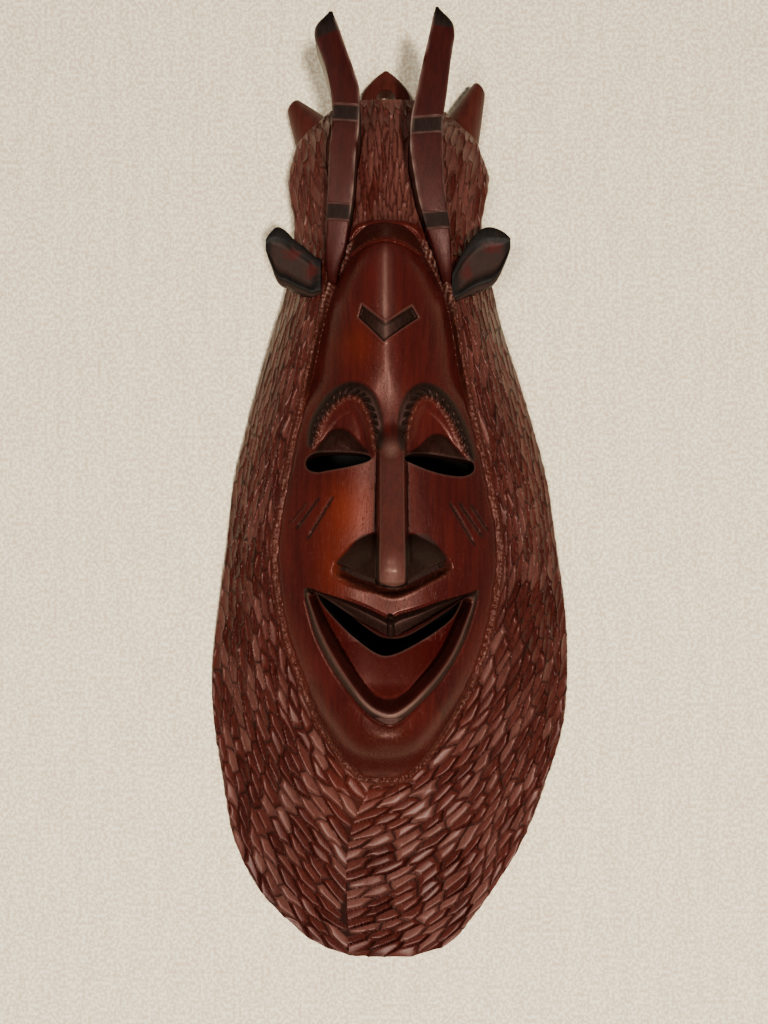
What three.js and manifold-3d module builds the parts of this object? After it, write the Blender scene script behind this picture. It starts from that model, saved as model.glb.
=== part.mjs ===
// Carved and stained wooden wall mask: a long bearded face with horns, animal ears and a hanging loop.
// Millimetres. The mask lies on its flat back at z = 0, with +Z out of the face and +Y towards the horns.
// The head is one carved block. The horns, side horns, ears and loop are carved apart, and each is
// let into a socket in the block that is its own shape grown by the glue line.

import * as THREE from 'three';
import Module from 'manifold-3d';
import { ConvexGeometry } from 'three/addons/geometries/ConvexGeometry.js';
import { LoftGeometry } from 'three/addons/geometries/LoftGeometry.js';
import { mergeVertices } from 'three/addons/utils/BufferGeometryUtils.js';

const wasm = await Module();
wasm.setup();

// ---- Driving dimensions -------------------------------------------------------------------------

const headLength = 464; // beard tip to the top of the hair block
const headWidth = 200; // across the mane
const rimThickness = 10; // edge of the mane and beard
const crownEdge = 27; // side wall of the hair block
const crownHeight = 50; // hair block between the horns, above the back
const borderHeight = 34; // where the cheeks meet the mane
const cheekHeight = 55; // middle of the face above the back
const browHeight = 65; // crest of the forehead above the back
const glueLine = 0.3; // gap between a piece and its socket

const hollowLength = 236; // scoop behind the face
const hollowWidth = 104;
const hollowDepth = 41;

const noseHeight = 84; // nose tip above the back
const noseLength = 66;
const noseRidgeWidth = 11;
const noseBaseWidth = 17;
const nostrilReach = 27; // middle of the nose to the tip of a nostril wing
const eyeSlitLength = 35;
const eyeSlitHeight = 8;
const socketDepth = 5; // eye sockets under the brows
const browRise = 1.6;
const lipRise = 3;
const headbandRise = 2;
const chevronDepth = 2.5;
const scarWidth = 2;
const scarDepth = 1.6;

const hornTipHeight = 86; // top face of a horn at its tip
const hornTipDepth = 12; // thickness of a horn at its tip
const hornReach = 19; // tip of a horn past the top of the hair block
const hornWidth = 13.5;
const hornChamfer = 1.6;
const hornHousing = 4; // how deep a horn is let into the hair

const earLength = 27; // from the side of the head to the tip
const earThickness = 13;
const earCup = 4; // depth of the hollow in an ear
const earHeight = 48; // front rim of an ear above the back
const earHousing = 2.5;
const earHornWall = 1.5; // wood left between the housings of an ear and a horn
const earTenonRadius = 4;
const earTenonLength = 14;

const sideHornRadius = 10.5;
const sideHornTipRadius = 1.5;
const sideHornHeight = 14; // axis above the back
const sideHornTenonRadius = 4.5;
const sideHornTenonLength = 15;
const leftSideHornReach = [-12.4, 18.7]; // tip from the middle of the seat, across and along
const rightSideHornReach = [9.7, 27];

const loopWidth = 28;
const loopShoulder = 18; // straight sides, from the top of the hair block
const loopReach = 32; // from the top of the hair block to the tip of the loop
const loopThickness = 9;
const loopHeight = 4; // underside above the back
const loopHoleRadius = 5.2;
const loopHoleReach = 15; // from the top of the hair block to the middle of the hole
const tongueWidth = 20;
const tongueLength = 16;

// ---- Layout grid ----------------------------------------------------------------------------------
// The carving is laid out on a grid of 464 by 200, and stretches with the head.

const gridLength = 464;
const gridWidth = 200;
const gridBottom = -248;
const gridTop = gridBottom + gridLength;
const across = (x) => (x * headWidth) / gridWidth;
const along = (y) => (y * headLength) / gridLength;
const place = (x, y, z) => new THREE.Vector3(across(x), along(y), z);
const crownTop = along(gridTop);

// [y, left edge, right edge]
const outline = curveThrough([
  [gridBottom, -20, 12], [-244, -33, 27], [-239, -43.5, 36], [-230, -55, 44], [-211, -73, 58],
  [-183, -87, 75], [-150, -93.5, 88], [-118, -98.5, 97.5], [-90, -100, 100], [-58, -97, 99],
  [-12, -91, 93], [21, -87, 88], [44, -81.5, 82], [68, -75.5, 75], [107, -63.5, 62],
  [123, -57.5, 57.5], [140, -53, 52], [156, -51.5, 49.5], [170, -53.5, 52], [181, -54.5, 53.5],
  [193, -52, 50], [200, -49.5, 47.5], [gridTop, -33.5, 31],
]);
const seatRow = 200; // the side horns sit on the straight corners between this row and the top

// [y, left border of the face, right border of the face]
const border = curveThrough([
  [gridBottom, -14, 8], [-200, -14, 8], [-150, -12, 5], [-141, -13, 6], [-136, -19, 13], [-129, -26, 20],
  [-107, -39, 34],
  [-85, -47.5, 45], [-59, -56, 53], [-24, -60.5, 58], [8, -56.5, 54], [64, -44, 40],
  [112, -32, 30], [133, -22, 19], [150, -18, 14], [gridTop, -15, 11],
]);

// [y, height at the middle, height at the border, height at the edge]
const heights = curveThrough([
  [gridBottom, rimThickness, rimThickness, rimThickness],
  [-200, 21, 20, rimThickness],
  [-150, 30, 29, rimThickness],
  [-139, 34, 31, rimThickness],
  [-120, cheekHeight - 3, 32, rimThickness],
  [-85, cheekHeight, borderHeight, rimThickness],
  [-24, cheekHeight + 1, borderHeight, rimThickness],
  [30, cheekHeight + 3, borderHeight + 4, rimThickness],
  [75, browHeight, borderHeight + 9, rimThickness],
  [112, browHeight - 2, crownHeight - 2, rimThickness + 3],
  [133, browHeight - 8, crownHeight, crownEdge - 6],
  [150, crownHeight, crownHeight, crownEdge],
  [seatRow, crownHeight - 2, crownHeight - 3, crownEdge],
  [gridTop, crownHeight - 9, crownHeight - 10, crownEdge],
]);

// Height of the carved front over a grid point: a domed face between its borders, and hair that
// falls from the border to the edge in a quarter wave.
function front(x, y) {
  const [leftEdge, rightEdge] = outline(y);
  const [leftBorder, rightBorder] = border(y);
  const [middle, side, edge] = heights(y);
  const centre = (leftBorder + rightBorder) / 2;
  const onLeft = x < centre;
  const inFace = Math.abs(x - centre) / ((rightBorder - leftBorder) / 2);
  if (inFace <= 1) return side + (middle - side) * (1 - inFace ** 2.4);
  const [edgeX, borderX] = onLeft ? [leftEdge, leftBorder] : [rightEdge, rightBorder];
  const fromEdge = (x - edgeX) / (borderX - edgeX);
  return edge + (side - edge) * Math.sin((Math.max(fromEdge, 0) * Math.PI) / 2);
}

// ---- Solids from three.js geometry ----------------------------------------------------------------

// A smooth curve through rows of [station, value, value ...].
function curveThrough(rows) {
  const stations = rows.map((row) => row[0]);
  const values = rows.flatMap((row) => row.slice(1));
  const spline = new THREE.CubicInterpolant(stations, values, rows[0].length - 1);
  return (station) => Array.from(spline.evaluate(station));
}

function solidOf(geometry) {
  const bare = new THREE.BufferGeometry();
  bare.setAttribute('position', geometry.getAttribute('position'));
  bare.setIndex(geometry.index);
  const merged = mergeVertices(bare, 1e-4);
  const mesh = new wasm.Mesh({
    numProp: 3,
    vertProperties: new Float32Array(merged.attributes.position.array),
    triVerts: new Uint32Array(merged.index.array),
  });
  return new wasm.Manifold(mesh);
}

function geometryOf(solid) {
  const mesh = solid.getMesh();
  const geometry = new THREE.BufferGeometry();
  const points = new Float32Array(mesh.vertProperties);
  geometry.setAttribute('position', new THREE.BufferAttribute(points, 3));
  geometry.setIndex(new THREE.BufferAttribute(new Uint32Array(mesh.triVerts), 1));
  geometry.computeVertexNormals();
  return geometry;
}

// Skins a row of rings, which are turned to wind counterclockwise as seen from the far end.
function loft(rings) {
  const [a, b, c] = rings[0];
  const facing = b.clone().sub(a).cross(c.clone().sub(a));
  const turned = facing.dot(rings[1][0].clone().sub(a)) < 0;
  const sections = turned ? rings.map((ring) => [...ring].reverse()) : rings;
  return solidOf(new LoftGeometry(sections, { capStart: true, capEnd: true }));
}

const hull = (points) => solidOf(new ConvexGeometry(points));

function prism(shape, low, high) {
  const options = { depth: high - low, bevelEnabled: false, curveSegments: 8 };
  const geometry = new THREE.ExtrudeGeometry(shape, options);
  return solidOf(geometry.translate(0, 0, low));
}

// A round rod from a point in a direction: a tenon, or the bore that takes it.
function rod(from, direction, length, radius) {
  const geometry = new THREE.CylinderGeometry(radius, radius, length, 20);
  geometry.translate(0, length / 2, 0);
  geometry.applyQuaternion(new THREE.Quaternion().setFromUnitVectors(new THREE.Vector3(0, 1, 0), direction));
  return solidOf(geometry.translate(from.x, from.y, from.z));
}

function ellipsoid(centre, radii) {
  const geometry = new THREE.SphereGeometry(1, 28, 18);
  geometry.scale(...radii);
  return solidOf(geometry.translate(centre.x, centre.y, centre.z));
}

// A strip that follows the carved front, between two edges given as rows of [x, y, x, y].
function strip(rows, low, high) {
  return loft(rows.map(([x1, y1, x2, y2]) => {
    const z1 = front(x1, y1);
    const z2 = front(x2, y2);
    return [
      place(x1, y1, z1 + low), place(x2, y2, z2 + low),
      place(x2, y2, z2 + high), place(x1, y1, z1 + high),
    ];
  }));
}

// ---- The head ---------------------------------------------------------------------------------------

const maneSteps = 5;
const faceSteps = 16;
const rows = [
  gridBottom, -246, -243, -238, -230, -220, -208, -195, -182, -170, -158, -148, -139, -134, -128, -120,
  -110, -100, -90, -80, -70, -58, -46, -35, -24, -12, 0, 12, 24, 36, 48, 60, 72, 84, 96, 106, 116,
  124, 132, 138, 144, 150, 160, 170, 180, 190, seatRow, gridTop,
];

function crossSection(y) {
  const [leftEdge, rightEdge] = outline(y);
  const [leftBorder, rightBorder] = border(y);
  const columns = [];
  const spread = (from, to, steps) => {
    for (let i = 0; i < steps; i++) columns.push(from + ((to - from) * i) / steps);
  };
  spread(leftEdge, leftBorder, maneSteps);
  spread(leftBorder, rightBorder, faceSteps);
  spread(rightBorder, rightEdge, maneSteps);
  columns.push(rightEdge);
  const top = columns.map((x) => place(x, y, front(x, y)));
  return [place(leftEdge, y, 0), ...top, place(rightEdge, y, 0)];
}

// ---- Features of the face ---------------------------------------------------------------------------

const bridge = { x: 1, y: 35 }; // grid place where the nose leaves the brow

function noseSection(y, ridgeWidth, baseWidth, top) {
  const middle = across(bridge.x);
  const sunk = cheekHeight - 14;
  return [
    new THREE.Vector3(middle - baseWidth / 2, y, sunk), new THREE.Vector3(middle + baseWidth / 2, y, sunk),
    new THREE.Vector3(middle + ridgeWidth / 2, y, top), new THREE.Vector3(middle - ridgeWidth / 2, y, top),
  ];
}

function nose() {
  const start = along(bridge.y);
  const brow = front(bridge.x, bridge.y);
  const midHeight = (brow + noseHeight) / 2 + 3;
  return loft([
    noseSection(start - noseLength, noseRidgeWidth * 0.8, noseBaseWidth, noseHeight - 7),
    noseSection(start - noseLength + 6, noseRidgeWidth, noseBaseWidth, noseHeight),
    noseSection(start - noseLength / 2, noseRidgeWidth, noseBaseWidth, midHeight),
    noseSection(start, noseRidgeWidth, noseBaseWidth, brow + 4),
    noseSection(start + 9, noseRidgeWidth, noseBaseWidth, brow - 1),
  ]);
}

// One flared wing: a wedge from beside the ridge to a point low on the cheek.
function nostrilWing(side) {
  const middle = across(bridge.x);
  const foot = along(bridge.y) - noseLength + 7;
  const cheek = front(side * nostrilReach, -23);
  const at = (x, y, z) => new THREE.Vector3(middle + side * x, foot + y, z);
  return hull([
    at(0, -5, cheekHeight - 10), at(0, 15, cheekHeight - 10),
    at(0, -6, noseHeight - 12), at(0, 15, noseHeight - 20),
    at(nostrilReach, 2, cheek - 8), at(nostrilReach, 2, cheek + 1),
    at(15, 15, cheek - 8), at(15, 14, cheek + 4),
  ]);
}

const leftBrow = [
  [-43.5, 38, -40.5, 36], [-39.5, 53, -35.5, 49], [-32, 65, -28.5, 58], [-20.5, 71, -21, 61.5],
  [-11, 66.5, -14, 59], [-5.5, 55, -9.5, 51], [-3.5, 41, -7.5, 38],
];
const rightBrow = [
  [3.5, 35, 8, 35.5], [2.5, 46, 8.5, 46], [8, 61.5, 11, 55], [17.5, 70, 16, 60],
  [26.5, 68, 23.5, 59.5], [35.5, 56.5, 31, 52], [41.5, 44, 37, 42], [44, 32, 40.5, 33],
];
const eyes = [
  { x: -25, y: 44, lidY: 35, slitX: -27 },
  { x: 24, y: 43, lidY: 34, slitX: 25.5 },
];
const slitRow = 26;

function eyeSocket(eye) {
  const surface = front(eye.x, eye.y);
  return ellipsoid(place(eye.x, eye.y, surface + 2), [14.5, 18, socketDepth + 2]);
}

function eyelid(eye) {
  const surface = front(eye.x, eye.lidY);
  return ellipsoid(place(eye.x, eye.lidY, surface - 5), [14, 8, 5.5]);
}

// A leaf with one round end, cut right through into the scoop behind.
function eyeSlit(eye, outward) {
  const half = eyeSlitLength / 2;
  const tall = eyeSlitHeight / 2;
  const shape = new THREE.Shape();
  shape.moveTo(-outward * half, tall * 0.6);
  shape.quadraticCurveTo(0, tall * 1.5, outward * (half - tall), tall);
  shape.quadraticCurveTo(outward * (half + tall * 0.4), 0, outward * (half - tall), -tall * 0.7);
  shape.quadraticCurveTo(0, -tall * 1.7, -outward * half, tall * 0.2);
  const middle = place(eye.slitX, slitRow, 0);
  return prism(shape, -1, noseHeight).translate([middle.x, middle.y, 0]);
}

const mouthOpening = [
  [-37.5, -41], [-20, -52], [-4.5, -63], [8, -63], [22, -54], [37.5, -45], [31.5, -56], [18, -65],
  [5.5, -71.5], [-2, -73.5], [-7, -72], [-24, -60], [-32.5, -51],
];
const lowerLip = [
  [-44, -40, -41, -41], [-38, -64, -32, -57], [-28.5, -81, -23, -71], [-15.5, -97.5, -13, -86],
  [-5.5, -104.5, -5, -93], [5.5, -104.5, 4, -93.5], [14, -97.5, 12, -87], [26, -86, 22, -75],
  [37, -69.5, 31, -61], [46.5, -42, 43, -44],
];
const upperLip = [
  [-41, -38, -37.5, -41], [-24, -42, -20, -51], [-12, -47, -4.5, -62], [0, -50, 1, -63],
  [13, -47, 8, -62], [25, -43, 22, -53], [44, -40, 38, -44],
];
const headband = [
  [-20, 130, -15, 143], [-12, 132.5, -9, 144], [-1.5, 134, -1, 144.5], [10, 132, 6, 144],
  [17, 129, 13, 142.5],
];
const chevron = [[-16.5, 98.5, -13, 103.5], [-3.5, 85, -2, 94], [14.5, 96.5, 9, 102.5]];
const scars = [
  [-37, 8, -49, -6.5], [-28.5, 9, -42, -12], [-43.5, 6, -53, -3],
  [30.5, 5.5, 43.5, -15.5], [35.5, 5.5, 47.5, -11], [42, 4.5, 51.5, -7.5],
];

function mouth() {
  const points = mouthOpening.map(([x, y]) => new THREE.Vector2(across(x), along(y)));
  return prism(new THREE.Shape(points), -1, noseHeight);
}

function scar([x1, y1, x2, y2]) {
  const half = scarWidth / 2;
  return strip([[x1 + half, y1, x1 - half, y1], [x2 + half, y2, x2 - half, y2]], -scarDepth, socketDepth);
}

function hollow() {
  const centre = place(-0.5, -10, 0);
  return ellipsoid(centre, [hollowWidth / 2, hollowLength / 2, hollowDepth]);
}

// ---- Horns ------------------------------------------------------------------------------------------

const leftHornPath = [
  [118, -29.5, 0.3], [126, -29, 0.5], [135, -27.5, 0.8], [147, -25, 1], [163, -24, 1], [178, -23, 1],
  [193, -21.7, 1], [204, -22, 1], [gridTop, -25.5, 1],
];
const rightHornPath = [
  [118, 29, 0.2], [126, 27.5, 0.5], [135, 25.5, 0.8], [147, 22.5, 1], [163, 19.5, 1], [178, 18, 1],
  [193, 18, 1], [204, 19.3, 1], [gridTop, 22, 1],
];
const leftTipAcross = -30;
const rightTipAcross = 25;
const hornFootRow = leftHornPath[0][0];
const hornLiftRow = 190;

const hornBarWidth = (taper) => Math.max(hornWidth * taper, 2.5 * hornChamfer);

// A bar with chamfered top corners. It starts flush at its foot, is let into the hair up to the
// lift row, then curves up and clear of it to the tip.
function horn(path, tipAcross, grow) {
  const foot = along(hornFootRow);
  const lift = along(hornLiftRow);
  const tip = crownTop + hornReach;
  const footHeight = front(path[0][1], hornFootRow);
  const topAt = (y) => {
    const share = Math.max(y - foot, 0) / (tip - foot);
    return footHeight + share ** 1.25 * (hornTipHeight - footHeight);
  };
  const housed = (x, row) => Math.min(front(x, row), crownHeight) - hornHousing;
  const bottomAt = (x, row, y) => {
    if (y <= lift) return housed(x, row);
    const start = housed(x, hornLiftRow);
    const clear = Math.sin((Math.PI / 2) * ((y - lift) / (tip - lift)));
    return start + (topAt(y) - hornTipDepth - start) * clear;
  };
  const section = (x, y, width, bottom) => {
    const half = width / 2 + grow;
    const top = topAt(y) + grow;
    return [
      [-half, bottom - grow], [half, bottom - grow], [half, top - hornChamfer],
      [half - hornChamfer, top], [hornChamfer - half, top], [-half, top - hornChamfer],
    ].map(([dx, z]) => new THREE.Vector3(x + dx, y, z));
  };
  const inHair = path.map(([row, x, taper], i) => {
    const y = along(row) - (i === 0 ? grow : 0);
    return section(across(x), y, hornBarWidth(taper), bottomAt(x, row, y));
  });
  const last = path.at(-1)[1];
  const free = [0.35, 0.7, 1].map((share) => {
    const y = crownTop + hornReach * share;
    const x = across(last + (tipAcross - last) * share);
    const width = hornWidth * (1 - Math.max(share - 0.7, 0) * 2.2);
    return section(x, y, width, bottomAt(last, gridTop, y));
  });
  return loft([...inHair, ...free]);
}

// ---- Ears -----------------------------------------------------------------------------------------------

// [share of the length, low edge, high edge] from the middle of the root
const earRows = [
  [0, -10, 9], [0.12, -10, 11.5], [0.25, -9.5, 15], [0.4, -8, 20], [0.55, -6, 26], [0.68, -2, 25],
  [0.82, 4, 22.5], [0.93, 9, 20], [1, 13, 17],
];
const ears = {
  left: { side: -1, y: 124, horn: leftHornPath },
  right: { side: 1, y: 121, horn: rightHornPath },
};

// An ear starts outside the foot of its horn, with a wall of wood between the two housings.
function earRoot({ side, y, horn: path }) {
  const footEdges = path.slice(0, 3).map(([, x, taper]) => Math.abs(across(x)) + hornBarWidth(taper) / 2);
  const out = Math.max(...footEdges) + earHornWall + earHousing;
  return new THREE.Vector3(side * out, along(y), 0);
}

// A thick leaf with a hollow front, let into the side of the head at its root.
function ear(placing, grow) {
  const { side } = placing;
  const root = earRoot(placing);
  const sections = earRows.map(([share, low, high]) => {
    const out = share === 0 ? -earHousing - grow : share * earLength;
    const middle = (low + high) / 2;
    const half = (high - low) / 2 + grow;
    const cup = grow > 0 ? 0 : earCup * Math.sin(Math.PI * Math.min(share * 1.3, 1));
    const ring = [
      [-half, -earThickness - grow], [half, -earThickness - grow], [half, grow], [half * 0.8, grow],
      [half * 0.4, grow - cup * 0.8], [0, grow - cup], [-half * 0.4, grow - cup * 0.8],
      [-half * 0.8, grow], [-half, grow],
    ];
    const x = root.x + side * out;
    return ring.map(([dy, dz]) => new THREE.Vector3(x, root.y + middle + dy, earHeight + dz));
  });
  const tenonHeight = earHeight - earThickness + earTenonRadius - 1;
  const tenonFrom = new THREE.Vector3(root.x - (side * earHousing) / 2, root.y, tenonHeight);
  const inward = new THREE.Vector3(-side, 0, 0);
  const tenon = rod(tenonFrom, inward, earTenonLength + grow, earTenonRadius + grow);
  return loft(sections).add(tenon);
}

// ---- Side horns -----------------------------------------------------------------------------------------

// The seat is the middle of a straight corner of the hair block, between the seat row and the top.
function sideHornSeat(side) {
  const pick = side < 0 ? 0 : 1;
  const low = place(outline(seatRow)[pick], seatRow, sideHornHeight);
  const high = place(outline(gridTop)[pick], gridTop, sideHornHeight);
  const wall = high.clone().sub(low).normalize();
  const normal = new THREE.Vector3(side * Math.abs(wall.y), Math.abs(wall.x), 0);
  return { middle: low.add(high).divideScalar(2), wall, normal };
}

function sideHorn(side, reach) {
  const { middle, wall, normal } = sideHornSeat(side);
  const up = new THREE.Vector3(0, 0, 1);
  const ring = (share, radius) => {
    const centre = middle.clone().addScaledVector(normal, glueLine);
    centre.add(new THREE.Vector3(reach[0] * share, reach[1] * share, 0));
    const points = [];
    for (let i = 0; i < 20; i++) {
      const angle = (i * Math.PI) / 10;
      const point = centre.clone().addScaledVector(wall, radius * Math.cos(angle));
      points.push(point.addScaledVector(up, radius * Math.sin(angle)));
    }
    return points;
  };
  const body = hull([
    ...ring(0, sideHornRadius), ...ring(0.4, sideHornRadius * 0.72), ...ring(1, sideHornTipRadius),
  ]);
  return body.add(sideHornTenon(side, 0));
}

function sideHornTenon(side, grow) {
  const { middle, normal } = sideHornSeat(side);
  const start = middle.clone().addScaledVector(normal, 1);
  return rod(start, normal.clone().negate(), sideHornTenonLength + 1 + grow, sideHornTenonRadius + grow);
}

// ---- Hanging loop --------------------------------------------------------------------------------

const loopMiddle = across(-2);

function loopTongue(grow) {
  const half = tongueWidth / 2 + grow;
  const shape = new THREE.Shape();
  shape.moveTo(-half, -tongueLength - grow);
  shape.lineTo(half, -tongueLength - grow);
  shape.lineTo(half, glueLine + 1);
  shape.lineTo(-half, glueLine + 1);
  const tongue = prism(shape, loopHeight - grow, loopHeight + loopThickness + grow);
  return tongue.translate([loopMiddle, crownTop, 0]);
}

function hangingLoop() {
  const half = loopWidth / 2;
  const shape = new THREE.Shape();
  shape.moveTo(-half, glueLine);
  shape.lineTo(half, glueLine);
  shape.lineTo(half, loopShoulder);
  shape.lineTo(4, loopReach - 1.5);
  shape.quadraticCurveTo(0, loopReach + 1, -4, loopReach - 1.5);
  shape.lineTo(-half, loopShoulder);
  const hole = new THREE.Path();
  hole.absarc(0, loopHoleReach, loopHoleRadius, 0, 2 * Math.PI);
  shape.holes.push(hole);
  const tab = prism(shape, loopHeight, loopHeight + loopThickness).translate([loopMiddle, crownTop, 0]);
  return tab.add(loopTongue(0));
}

// ---- The carved block, with its sockets -----------------------------------------------------------------

function maskBody() {
  let head = loft(rows.map(crossSection));
  const raised = [
    strip(leftBrow, -3, browRise), strip(rightBrow, -3, browRise), nose(), nostrilWing(-1), nostrilWing(1),
    strip(lowerLip, -3, lipRise), strip(upperLip, -3, lipRise), strip(headband, -3, headbandRise),
  ];
  for (const eye of eyes) head = head.subtract(eyeSocket(eye));
  for (const eye of eyes) head = head.add(eyelid(eye));
  for (const piece of raised) head = head.add(piece);
  const cuts = [
    hollow(), mouth(), eyeSlit(eyes[0], -1), eyeSlit(eyes[1], 1), strip(chevron, -chevronDepth, socketDepth),
    ...scars.map(scar),
    horn(leftHornPath, leftTipAcross, glueLine), horn(rightHornPath, rightTipAcross, glueLine),
    ear(ears.left, glueLine), ear(ears.right, glueLine),
    sideHornTenon(-1, glueLine), sideHornTenon(1, glueLine), loopTongue(glueLine),
  ];
  for (const cut of cuts) head = head.subtract(cut);
  return head;
}

// ---- The finished pieces -------------------------------------------------------------------------

const finishes = {
  polished: { color: 0x5a1712, roughness: 0.35, metalness: 0 },
  horn: { color: 0x3d120f, roughness: 0.35, metalness: 0 },
  darkened: { color: 0x21130f, roughness: 0.5, metalness: 0 },
};

const group = new THREE.Group();

function addPiece(name, solid, finish) {
  const mesh = new THREE.Mesh(geometryOf(solid), new THREE.MeshStandardMaterial(finishes[finish]));
  mesh.name = name;
  group.add(mesh);
}

addPiece('mask_body', maskBody(), 'polished');
addPiece('left_horn', horn(leftHornPath, leftTipAcross, 0), 'horn');
addPiece('right_horn', horn(rightHornPath, rightTipAcross, 0), 'horn');
addPiece('left_side_horn', sideHorn(-1, leftSideHornReach), 'polished');
addPiece('right_side_horn', sideHorn(1, rightSideHornReach), 'polished');
addPiece('left_ear', ear(ears.left, 0), 'darkened');
addPiece('right_ear', ear(ears.right, 0), 'darkened');
addPiece('hanging_loop', hangingLoop(), 'polished');

// The origin is the middle of the back, halfway between the beard tip and the tip of the loop.
group.position.y = -(along(gridBottom) + crownTop + loopReach) / 2;

export default group;
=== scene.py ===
# %% [markdown]
# # A carved wooden mask
# The real mask is cut from one block of reddish wood: a long smiling face set in a mane and beard of
# gouge cuts, with horns, ears and a hanging loop let into the block. It is stained, then waxed.
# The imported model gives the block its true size. Here every surface is carved finer, as a height
# above the back that is worked out for each point, which is how a carver thinks of relief work.

# %% Load the frame
import bpy
import numpy as np
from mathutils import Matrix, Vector


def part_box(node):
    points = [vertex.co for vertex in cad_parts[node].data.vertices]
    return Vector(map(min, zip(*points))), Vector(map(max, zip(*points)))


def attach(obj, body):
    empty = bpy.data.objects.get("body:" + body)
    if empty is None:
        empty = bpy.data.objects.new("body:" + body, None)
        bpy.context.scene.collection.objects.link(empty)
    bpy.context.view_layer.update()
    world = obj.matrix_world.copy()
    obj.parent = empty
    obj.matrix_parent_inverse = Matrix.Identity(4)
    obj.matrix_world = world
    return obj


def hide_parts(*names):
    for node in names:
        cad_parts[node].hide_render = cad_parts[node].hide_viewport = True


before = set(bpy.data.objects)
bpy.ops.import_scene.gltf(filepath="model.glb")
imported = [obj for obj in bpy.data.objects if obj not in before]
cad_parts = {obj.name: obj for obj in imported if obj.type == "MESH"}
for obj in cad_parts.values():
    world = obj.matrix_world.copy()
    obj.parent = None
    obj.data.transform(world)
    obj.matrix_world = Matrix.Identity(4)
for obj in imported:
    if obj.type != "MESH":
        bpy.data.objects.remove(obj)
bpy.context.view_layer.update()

# %% [markdown]
# ## The layout grid
# A carver pencils a grid on the block and works by it. Ours counts in millimetres on a head of 200 by
# 464, and stretches to the block's real box, so a change of size in the model carries over here.

# %% Layout grid
MM = 0.001
GRID_WIDTH = 200.0
GRID_LOW, GRID_HIGH = -248.0, 216.0
body_low, body_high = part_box("mask_body")
STRETCH_X = (body_high.x - body_low.x) / MM / GRID_WIDTH
STRETCH_Y = (body_high.y - body_low.y) / MM / (GRID_HIGH - GRID_LOW)
SHIFT_Y = body_low.y / MM - GRID_LOW * STRETCH_Y
print("stretch", round(STRETCH_X, 4), round(STRETCH_Y, 4), "shift", round(SHIFT_Y, 3))


def to_metres(x, y, z):
    return np.stack([x * STRETCH_X, y * STRETCH_Y + SHIFT_Y, z], -1) * MM


# %% [markdown]
# ## Curves, distances and soft steps
# Outlines are smooth curves through a few points. A feature such as a lip or a brow is drawn by how
# far each point lies from its outline, which keeps its edges even however fine the mesh is.

# %% Curves and distances
def curve_through(rows):
    rows = np.array(rows, float)
    stations, values = rows[:, 0], rows[:, 1:]
    slopes = np.gradient(values, stations, axis=0)

    def at(where):
        where = np.clip(np.asarray(where, float), stations[0], stations[-1])
        i = np.clip(np.searchsorted(stations, where, side="right") - 1, 0, len(stations) - 2)
        span = (stations[i + 1] - stations[i])[..., None]
        t = ((where - stations[i]) / (stations[i + 1] - stations[i]))[..., None]
        start = (2 * t**3 - 3 * t**2 + 1) * values[i] + (t**3 - 2 * t**2 + t) * span * slopes[i]
        end = (3 * t**2 - 2 * t**3) * values[i + 1] + (t**3 - t**2) * span * slopes[i + 1]
        return np.moveaxis(start + end, -1, 0)

    return at


def round_off(points, closed, per_span=8):
    """A Catmull-Rom curve through given points."""
    p = np.array(points, float)
    n = len(p)
    spans = n if closed else n - 1
    pick = (lambda i: p[i % n]) if closed else (lambda i: p[min(max(i, 0), n - 1)])
    t = np.arange(per_span)[:, None] / per_span
    out = []
    for i in range(spans):
        a, b, c, d = pick(i - 1), pick(i), pick(i + 1), pick(i + 2)
        out.append(0.5 * (2 * b + (c - a) * t + (2 * a - 5 * b + 4 * c - d) * t**2
                          + (3 * b - a - 3 * c + d) * t**3))
    if not closed:
        out.append(p[-1:])
    return np.concatenate(out)


def path_distance(x, y, points):
    """Distance to a path, share of the path's length at the nearest point, and side (+1 is left)."""
    p = np.array(points, float)
    steps = np.linalg.norm(np.diff(p, axis=0), axis=1)
    travelled = np.concatenate([[0], np.cumsum(steps)])
    best = np.full(x.shape, 1e9)
    share = np.zeros(x.shape)
    side = np.ones(x.shape)
    for i, (a, b) in enumerate(zip(p[:-1], p[1:])):
        d = b - a
        t = np.clip(((x - a[0]) * d[0] + (y - a[1]) * d[1]) / (d @ d), 0, 1)
        dx, dy = x - a[0] - t * d[0], y - a[1] - t * d[1]
        gap = np.hypot(dx, dy)
        near = gap < best
        best = np.where(near, gap, best)
        share = np.where(near, (travelled[i] + t * steps[i]) / travelled[-1], share)
        side = np.where(near, np.sign(d[0] * dy - d[1] * dx + 1e-12), side)
    return best, share, side


def outline_distance(x, y, points):
    """Signed distance to a closed outline: negative inside."""
    p = np.array(points, float)
    closed = np.concatenate([p, p[:1]])
    gap, _, _ = path_distance(x, y, closed)
    inside = np.zeros(x.shape, bool)
    for (x1, y1), (x2, y2) in zip(closed[:-1], closed[1:]):
        crosses = (y1 > y) != (y2 > y)
        rise = y2 - y1 if y2 != y1 else 1e-12
        inside ^= crosses & (x < (x2 - x1) * (y - y1) / rise + x1)
    return np.where(inside, -gap, gap)


def soft_step(value, low, high):
    """0 at low, 1 at high, smooth between."""
    t = np.clip((value - low) / (high - low), 0, 1)
    return t * t * (3 - 2 * t)


def bell(value, width):
    return np.exp(-((value / width) ** 2))


def wobble(x, y, size, seed):
    """Smooth seeded unevenness, about -1 to 1, from a few crossed waves."""
    rng = np.random.default_rng(seed)
    total = np.zeros(np.shape(x))
    for _ in range(7):
        angle, phase = rng.uniform(0, 2 * np.pi, 2)
        length = size * rng.uniform(0.7, 1.6)
        total += np.sin(2 * np.pi * (x * np.cos(angle) + y * np.sin(angle)) / length + phase)
    return total / 4


print("a soft step at a quarter of the way", soft_step(0.25, 0, 1))

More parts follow.
